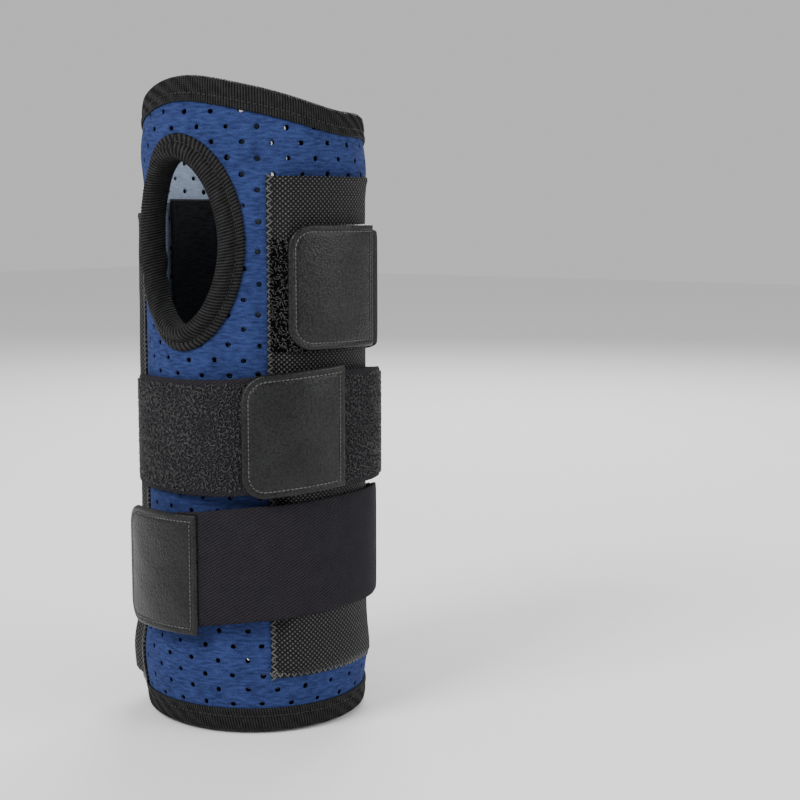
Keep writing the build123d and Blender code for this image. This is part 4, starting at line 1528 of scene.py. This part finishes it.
class Straps:
    """The three straps with their ring tabs and leather pull tabs."""

    def __init__(self, workshop: Workshop, repeater: Repeater, shapes: Shapes,
                 panels: Panels) -> None:
        """Keeps what they are made from."""
        self.workshop, self.repeater, self.shapes, self.panels = workshop, repeater, shapes, panels
        self.sweep = Sweep(workshop)
        self.elastic, self.leather = ELASTIC.build(), LEATHER.build()
        self.webbing, self.thread = RIB_WEBBING_PAINTED_GLINTS.build(), TAB_THREAD.build()
        self.pile, self.hooks = SHADED_PILE_GROUND.build(), HOOK_TAPE.build()

    def build(self, strap: StrapShape) -> None:
        """Builds one strap and everything on it."""
        self.band(strap)
        self.ring_tab(strap)
        self.pull_tab(strap)

    def band(self, strap: StrapShape) -> None:
        """Builds the elastic band, with pile outside if it goes round twice."""
        plan, square, height = strap.path()
        piece = self.sweep.ribbon(f"strap_{strap.name}_band", plan, square, height, strap.width,
                                  strap.thickness, self.elastic, seed=len(strap.name))
        slot = "loop_pile" if strap.turns else "elastic"
        self.workshop.finish_piece(piece, "sleeve", slot, f"strap_{strap.name}")
        if strap.turns:
            first, second, third = strap.returning()
            self._pile(strap, first[0], first[1], strap.tab_phi + 2, first[3], 50)
            self._pile(strap, second[0], second[1], second[2], second[3], 51)
            self._pile(strap, third[0], third[1], third[2], third[3] - 2, 52)

    def _pile(self, strap: StrapShape, centre: Array, radius: float, start: float, end: float,
              seed: int) -> None:
        """Scatters pile over part of a turn, between the smooth selvages."""
        phi, share = np.meshgrid(np.linspace(end, start, 80), np.linspace(-1, 1, 14))
        z = np.asarray(strap.height(phi)) + share * (strap.width / 2 - 1.6)
        reach = radius + strap.thickness / 2 - 0.08 - strap.hug(phi)
        plan = centre + direction(phi) * reach[..., None]
        rows, cols = phi.shape
        points = np.concatenate([plan, z[..., None]], -1).reshape(-1, 3)
        skin = self.workshop.mesh(f"strap_{strap.name}_pile_{seed}", points,
                                  grid_faces(rows, cols), self.pile)
        made = self.repeater.over(skin.name, skin, self.shapes.loop, self.panels.glinting_strands,
                                  Repeat(0.75, 1.3, 2 * math.pi, seed=seed), 1.35)
        self.workshop.finish_piece(made, "sleeve", "loop_pile")

    def ring_tab(self, strap: StrapShape, width: float = 35.0, ply: float = 1.0,
                 fold_r: float = 2.1, span: float = 9.2) -> None:
        """Builds the webbing loop that anchors a ring: two plies round its leg."""
        leg = strap.bar_phi + math.degrees(span / strap.ring_r)
        end, low, high = strap.anchor_phi, 36.05 + ply / 2, 36.05 + 1.5 * ply + 0.02
        out, back = direction(leg), direction(leg - 90)
        turn = np.radians(np.linspace(0, 180, 13))[:, None]
        loop = out * strap.ring_r + fold_r * (-np.cos(turn) * out + np.sin(turn) * back)
        inward = direction(np.linspace(end, leg + 3, 6))
        ramp = np.array([0, 0.15, 0.5, 0.8, 0.95, 1])[:, None]
        first = inward * (low + (strap.ring_r - fold_r - low) * ramp)
        second = inward[::-1] * (high + (strap.ring_r + fold_r - high) * ramp[::-1] ** 1.3)
        line = resample(smooth_line(np.vstack([first, loop, second]), 2, False), 0.8)
        way = tangents(line)
        square = np.stack([way[:, 1], -way[:, 0]], 1)
        middle = np.full(len(line), float(strap.height(strap.bar_phi)))
        piece = self.sweep.ribbon(f"ring_tab_{strap.name}_webbing", line, square, middle, width,
                                  ply, self.webbing, seed=8)
        self.workshop.finish_piece(piece, "sleeve", "webbing_rib", f"ring_tab_{strap.name}")
        z = middle[0] + np.linspace(-width / 2 + 1, width / 2 - 1, 30)
        row = np.stack([np.full(30, end - 2.4), np.full(30, high + ply / 2), z], 1)
        seam = self.panels.zigzag(f"ring_tab_{strap.name}_seam", row, 0.12)
        self.workshop.finish_piece(seam, "sleeve", "webbing_rib")

    def pull_tab(self, strap: StrapShape, corner: float = 7.5) -> None:
        """Builds the leather pull tab, its stitching and its hook patch."""
        body = f"pull_tab_{strap.name}"
        centre, turn_r, _, _ = strap.returning()[-1]
        half_w, half_h = strap.tab_length / 2, strap.tab_width / 2
        middle = strap.tab_middle()
        mid_z = float(strap.height(middle))
        seat = turn_r + strap.thickness / 2 + strap.tab_gap
        slope = math.tan(math.radians(strap.tab_tilt))

        def placed(u: Array, v: Array, radius: Array) -> Array:
            """Places on the tab at u round it and v up it, that far from the turn's centre."""
            phi = middle + np.degrees(u / (seat + 0.5))
            plan = centre + direction(phi) * np.asarray(radius)[..., None]
            return np.concatenate([plan, (mid_z + v + u * slope)[..., None]], -1)

        spread = np.linspace(-1, 1, 72)
        spread = np.sign(spread) * (1 - (1 - np.abs(spread)) ** 1.25)
        u, v = np.meshgrid(spread * half_w, spread * half_h)
        u, v = self._round_tip(u, v, half_w, half_h, corner)
        gap = self._edge_gap(u, v, half_w, half_h, corner)
        spot = np.stack([u.ravel(), v.ravel()], 1)
        roll = np.sqrt(np.clip(1 - (1 - np.clip(gap / 0.8, 0, 1)) ** 2, 0, 1))
        groove = 0.2 * np.exp(-((gap - 2.2) / 0.5) ** 2)
        puff = 0.22 * np.clip((gap - 2.6) / 6, 0, 1) ** 0.6
        uneven = 0.12 * rough(spot, 24, 60 + len(strap.name)).reshape(u.shape)
        outer = seat + 0.25 + 0.8 * roll - groove + (puff + uneven * np.clip(gap / 3, 0, 1))
        points, faces = thicken(placed(u, v, outer).reshape(-1, 3),
                                placed(u, v, np.full(u.shape, seat)).reshape(-1, 3),
                                grid_faces(*u.shape))
        piece = self.workshop.mesh(f"tab_{strap.name}_leather", points, faces, self.leather,
                                   np.vstack([spot, spot]))
        self.workshop.finish_piece(piece, body, "leather", f"tab_{strap.name}")

        row = resample(self._seam(half_w, half_h, corner, 2.2), 1.35, True)
        points = placed(row[:, 0], row[:, 1], np.full(len(row), seat + 0.98))
        ahead = np.roll(row, -1, axis=0)
        ways = placed(ahead[:, 0], ahead[:, 1], np.full(len(row), seat + 0.98)) - points
        outs = np.hstack([points[:, :2] - centre, np.zeros((len(row), 1))])
        outs /= np.linalg.norm(outs, axis=1, keepdims=True)
        seam = self.repeater.along(f"tab_{strap.name}_stitches", points, ways, outs,
                                   self.shapes.stitch, self.thread, Repeat(0.8, 1.0, seed=17))
        self.workshop.finish_piece(seam, body, "leather")

        left, right = -half_w + strap.hook_margin, half_w - strap.tab_overlap - 0.6
        reach = half_h - strap.hook_margin
        u, v = np.meshgrid(np.linspace(left, right, 20), np.linspace(-reach, reach, 20))
        points, faces = thicken(placed(u, v, np.full(u.shape, seat - 0.03)).reshape(-1, 3),
                                placed(u, v, np.full(u.shape, seat - 0.9)).reshape(-1, 3),
                                grid_faces(*u.shape))
        piece = self.workshop.mesh(f"hook_{strap.name}_tape", points, faces, self.hooks)
        self.workshop.finish_piece(piece, body, "hook_tape", f"hook_{strap.name}")

    @staticmethod
    def _round_tip(u: Array, v: Array, half_w: float, half_h: float,
                   corner: float) -> tuple[Array, Array]:
        """Draws a rectangle's grid in to rounded corners at its tip."""
        a = np.clip((-(half_w - corner) - u) / corner, 0, 1)
        b = np.clip((np.abs(v) - (half_h - corner)) / corner, 0, 1)
        shrink = np.maximum(a, b) / np.maximum(np.hypot(a, b), 1e-9)
        both = (a > 0) & (b > 0)
        new_u = np.where(both, -(half_w - corner) - a * shrink * corner, u)
        new_v = np.where(both, np.sign(v) * (half_h - corner + b * shrink * corner), v)
        return new_u, new_v

    @staticmethod
    def _edge_gap(u: Array, v: Array, half_w: float, half_h: float, corner: float) -> Array:
        """Distance from a place on the tab to its nearest edge."""
        straight = np.minimum(half_w - np.abs(u), half_h - np.abs(v))
        a, b = -(half_w - corner) - u, np.abs(v) - (half_h - corner)
        return np.where((a > 0) & (b > 0), corner - np.hypot(a, b), straight)

    @staticmethod
    def _seam(half_w: float, half_h: float, corner: float, inset: float) -> Array:
        """A closed line at an even distance inside the tab's edge."""
        turn = np.radians(np.linspace(0, 90, 8))[:, None]
        r, w, h = corner - inset, half_w - inset, half_h - inset
        top = np.hstack([-(half_w - corner) - r * np.sin(turn), half_h - corner + r * np.cos(turn)])
        foot = np.hstack([-(half_w - corner) - r * np.cos(turn),
                          -(half_h - corner) - r * np.sin(turn)])
        return np.vstack([[(w, h)], top, foot, [(w, -h)]])


# --------------------------------------------------------------------------- the thumb pad
@dataclass(frozen=True)
class PadShape:
    """The padded lining beside the thumb hole."""

    phi: tuple[float, float] = (-13.0, 52.0)
    low: float = 126.3
    margin: float = 9.0
    outer_r: float = 31.5
    thickness: float = 1.6
    sewn_t: float = 0.5
    step: tuple[float, float] = (2.6, 1.5)
    frames: int = 20


class ThumbPad:
    """A soft pad, puffed up between its seams by a cloth simulation."""

    def __init__(self, workshop: Workshop, shape: SleeveShape, pad: PadShape) -> None:
        """Keeps what it is made from."""
        self.workshop, self.shape, self.pad = workshop, shape, pad

    def build(self) -> None:
        """Builds the pad."""
        pad, shape = self.pad, self.shape
        radius = pad.outer_r
        phi, z = np.meshgrid(np.arange(*pad.phi, pad.step[0]),
                             np.arange(pad.low, shape.crown, pad.step[1]))
        flat = np.stack([shape.unroll(phi.ravel()), z.ravel()], 1)
        flat, faces = draw_in(flat, grid_faces(*phi.shape), shape.outline(), shape.thumb(),
                              pad.margin)
        outside = shape.wrap(flat, radius)
        inner = shape.wrap(flat, radius - pad.sewn_t)
        points, walls = thicken(outside, inner, faces)
        piece = self.workshop.mesh("thumb_pad_cushion", points, walls, PALE_KNIT.build(),
                                   np.vstack([flat, flat]))
        self._puff(piece, len(flat))
        level = piece.modifiers.new("round", "SUBSURF")
        level.levels = level.render_levels = 1
        with bpy.context.temp_override(object=piece, active_object=piece):
            bpy.ops.object.modifier_apply(modifier=level.name)
        self.workshop.finish_piece(piece, "sleeve", "knit_pale", "thumb_pad")

    def _puff(self, piece: bpy.types.Object, count: int) -> None:
        """Blows the free inner face away from the sewn outer one, and caps its travel.

        Args:
            piece: the flat cushion.
            count: how many of its vertices, from the first, are on the sewn face.
        """
        rest = np.array([v.co[:] for v in piece.data.vertices])
        pins = piece.vertex_groups.new(name="sewn")
        pins.add(list(range(count)), 1.0, "REPLACE")
        cloth = piece.modifiers.new("puff", "CLOTH")
        cloth.settings.quality = 6
        cloth.settings.mass = 0.15
        cloth.settings.tension_stiffness = cloth.settings.compression_stiffness = 12
        cloth.settings.vertex_group_mass = pins.name
        cloth.settings.use_pressure = True
        cloth.settings.uniform_pressure_force = 4
        cloth.settings.effector_weights.gravity = 0
        cloth.point_cache.frame_start, cloth.point_cache.frame_end = 1, self.pad.frames
        for frame in range(1, self.pad.frames + 1):
            bpy.context.scene.frame_set(frame)
        graph = bpy.context.evaluated_depsgraph_get()
        puffed = np.array([v.co[:] for v in piece.evaluated_get(graph).data.vertices])
        bpy.context.scene.frame_set(1)
        piece.modifiers.remove(cloth)
        piece.vertex_groups.remove(pins)
        move = puffed - rest
        far = np.linalg.norm(move, axis=1, keepdims=True)
        cap = (self.pad.thickness - self.pad.sewn_t) * MM
        move *= np.minimum(1, cap / np.maximum(far, 1e-9))
        LOG.info("%s: puffed by up to %.2f mm of a free %.2f mm", piece.name,
                 np.linalg.norm(move, axis=1).max() / MM, far.max() / MM)
        for vertex, place in zip(piece.data.vertices, rest + move):
            vertex.co = place


# --------------------------------------------------------------------------- the studio
@dataclass(frozen=True)
class Studio:
    """Floor, lights and camera; each lamp has a name, turn, height, power and size."""

    azimuth: float = 40.0
    eye_z: float = 0.1623
    distance: float = 0.5
    lens: float = 68.6
    yaw: float = 5.4
    pitch: float = 7.0
    surround: float = 0.62
    lamp_distance: float = 0.9
    lamps: tuple[tuple[str, float, float, float, float], ...] = (
        ("key", -48, 0.8, 13, 0.5), ("fill", 62, 0.5, 5, 0.6), ("back", 165, 0.8, 10, 0.6))

    def build(self, workshop: Workshop) -> None:
        """Builds the floor, the lights and the camera."""
        scene = bpy.context.scene
        bpy.ops.mesh.primitive_plane_add(size=6, location=(0, 0, -0.0006))
        floor = bpy.context.object
        floor.name = "floor"
        floor.data.materials.append(PAPER.build())
        world = bpy.data.worlds.new("studio")
        world.use_nodes = True
        world.node_tree.nodes["Background"].inputs["Color"].default_value = (1, 1, 1, 1)
        world.node_tree.nodes["Background"].inputs["Strength"].default_value = self.surround
        scene.world = world
        for name, turn, height, power, size in self.lamps:
            self._light(name, self.azimuth + turn, height, power, size)
        a = math.radians(self.azimuth)
        camera = bpy.data.objects.new("camera", bpy.data.cameras.new("camera"))
        camera.data.lens = self.lens
        camera.data.sensor_width = 36
        camera.data.clip_start = 0.01
        camera.location = workshop.axis + Vector(
            (math.sin(a) * self.distance, -math.cos(a) * self.distance, self.eye_z))
        camera.rotation_euler = (math.radians(90 - self.pitch), 0,
                                 a - math.radians(self.yaw))
        scene.collection.objects.link(camera)
        scene.camera = camera

    def _light(self, name: str, azimuth: float, height: float, power: float,
               size: float) -> None:
        """A square soft light facing the splint.

        Args:
            name: the light's name.
            azimuth: where it stands, round the splint, in degrees.
            height: how high it stands, in metres.
            power: its power in watts.
            size: its side in metres.
        """
        a = math.radians(azimuth)
        lamp = bpy.data.lights.new(name, "AREA")
        lamp.energy, lamp.size = power, size
        made = bpy.data.objects.new(name, lamp)
        made.location = (math.sin(a) * self.lamp_distance, -math.cos(a) * self.lamp_distance,
                         height)
        way = Vector((0, 0, 0.1)) - made.location
        made.rotation_mode = "QUATERNION"
        made.rotation_quaternion = way.to_track_quat("-Z", "Y")
        bpy.context.scene.collection.objects.link(made)


def keep_cad(frame: dict, nodes: Sequence[str], finish: bpy.types.Material) -> None:
    """Gives CAD nodes that stay in view their finish.

    Args:
        frame: the loaded frame.
        nodes: their names.
        finish: the material.
    """
    for name in nodes:
        node = frame["nodes"][name]
        node.data.materials.clear()
        node.data.materials.append(finish)
        LOG.info("%s: kept from the CAD", name)


def main() -> None:
    """Builds the splint's looks round its frame."""
    logging.basicConfig(level=logging.INFO, format="%(message)s")
    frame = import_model()
    workshop = Workshop()
    repeater = Repeater(workshop)
    shapes = Shapes(repeater)
    sleeve = SleeveShape()
    Sleeve(workshop, repeater, sleeve, Perforation()).build()
    Edges(workshop, repeater, shapes, sleeve).build()
    panels = Panels(workshop, repeater, shapes, sleeve)
    palmar = PocketShape("palmar_pocket", 80, 21.5, 0, 173.3, 18.0)
    dorsal = PocketShape("dorsal_pocket", -84.0, 21.2, 5.5, 162.3, 8.8)
    panels.pocket(palmar)
    panels.pocket(dorsal)
    panels.patch(palmar, (47, 103), (120.3, 154.3))
    straps = [
        StrapShape("upper", 212.5, 241.5, 100.5, 99.2, 0,
                   ((50, 140.2), (112, 139.2), (212, 127.2), (250, 127.2), (330, 136)),
                   ((106, 0), (116, 1.7), (126, 2.6), (150, 2.4), (168, 1.3), (194, 0.9), (206, 0)),
                   0),
        StrapShape("middle", 221.0, 244.5, 80, 78.4, 1,
                   ((-50, 93.2), (20, 93.6), (55, 96.2), (100, 96.2), (130, 94.0), (212, 81.9), (250, 81.5)),
                   ((28, 0), (84, 0), (104, 1.2), (120, 2.4), (150, 2.3), (168, 1.2), (196, 0.9),
                    (214, 0), (228, 0), (246, 1.6), (260, 2.6), (292, 2.7), (312, 4.2), (350, 4.2)),
                   5.0),
        StrapShape("lower", 223.5, 247.5, 13, 13.4, 0,
                   ((-33, 49), (15, 53.9), (90, 57.2), (130, 56.5), (223, 35.5), (250, 35.5)),
                   ((16, 0), (34, 1.1), (60, 1.4), (104, 1.5), (118, 2.5), (150, 2.4), (168, 1.3),
                    (200, 0.9), (217, 0)),
                   0),
    ]
    panels.strip(StripShape(), straps)
    panels.tongue(TongueShape())
    maker = Straps(workshop, repeater, shapes, panels)
    for strap in straps:
        maker.build(strap)
    ThumbPad(workshop, sleeve, PadShape()).build()
    names = [strap.name for strap in straps]
    keep_cad(frame, [f"d_ring_{n}" for n in names], RING_COAT.build())
    keep_cad(frame, ["palmar_stay", "dorsal_stay"], STAY_METAL.build())
    repeater.remove_shapes()
    Studio().build(workshop)


if __name__ == "__main__":
    main()
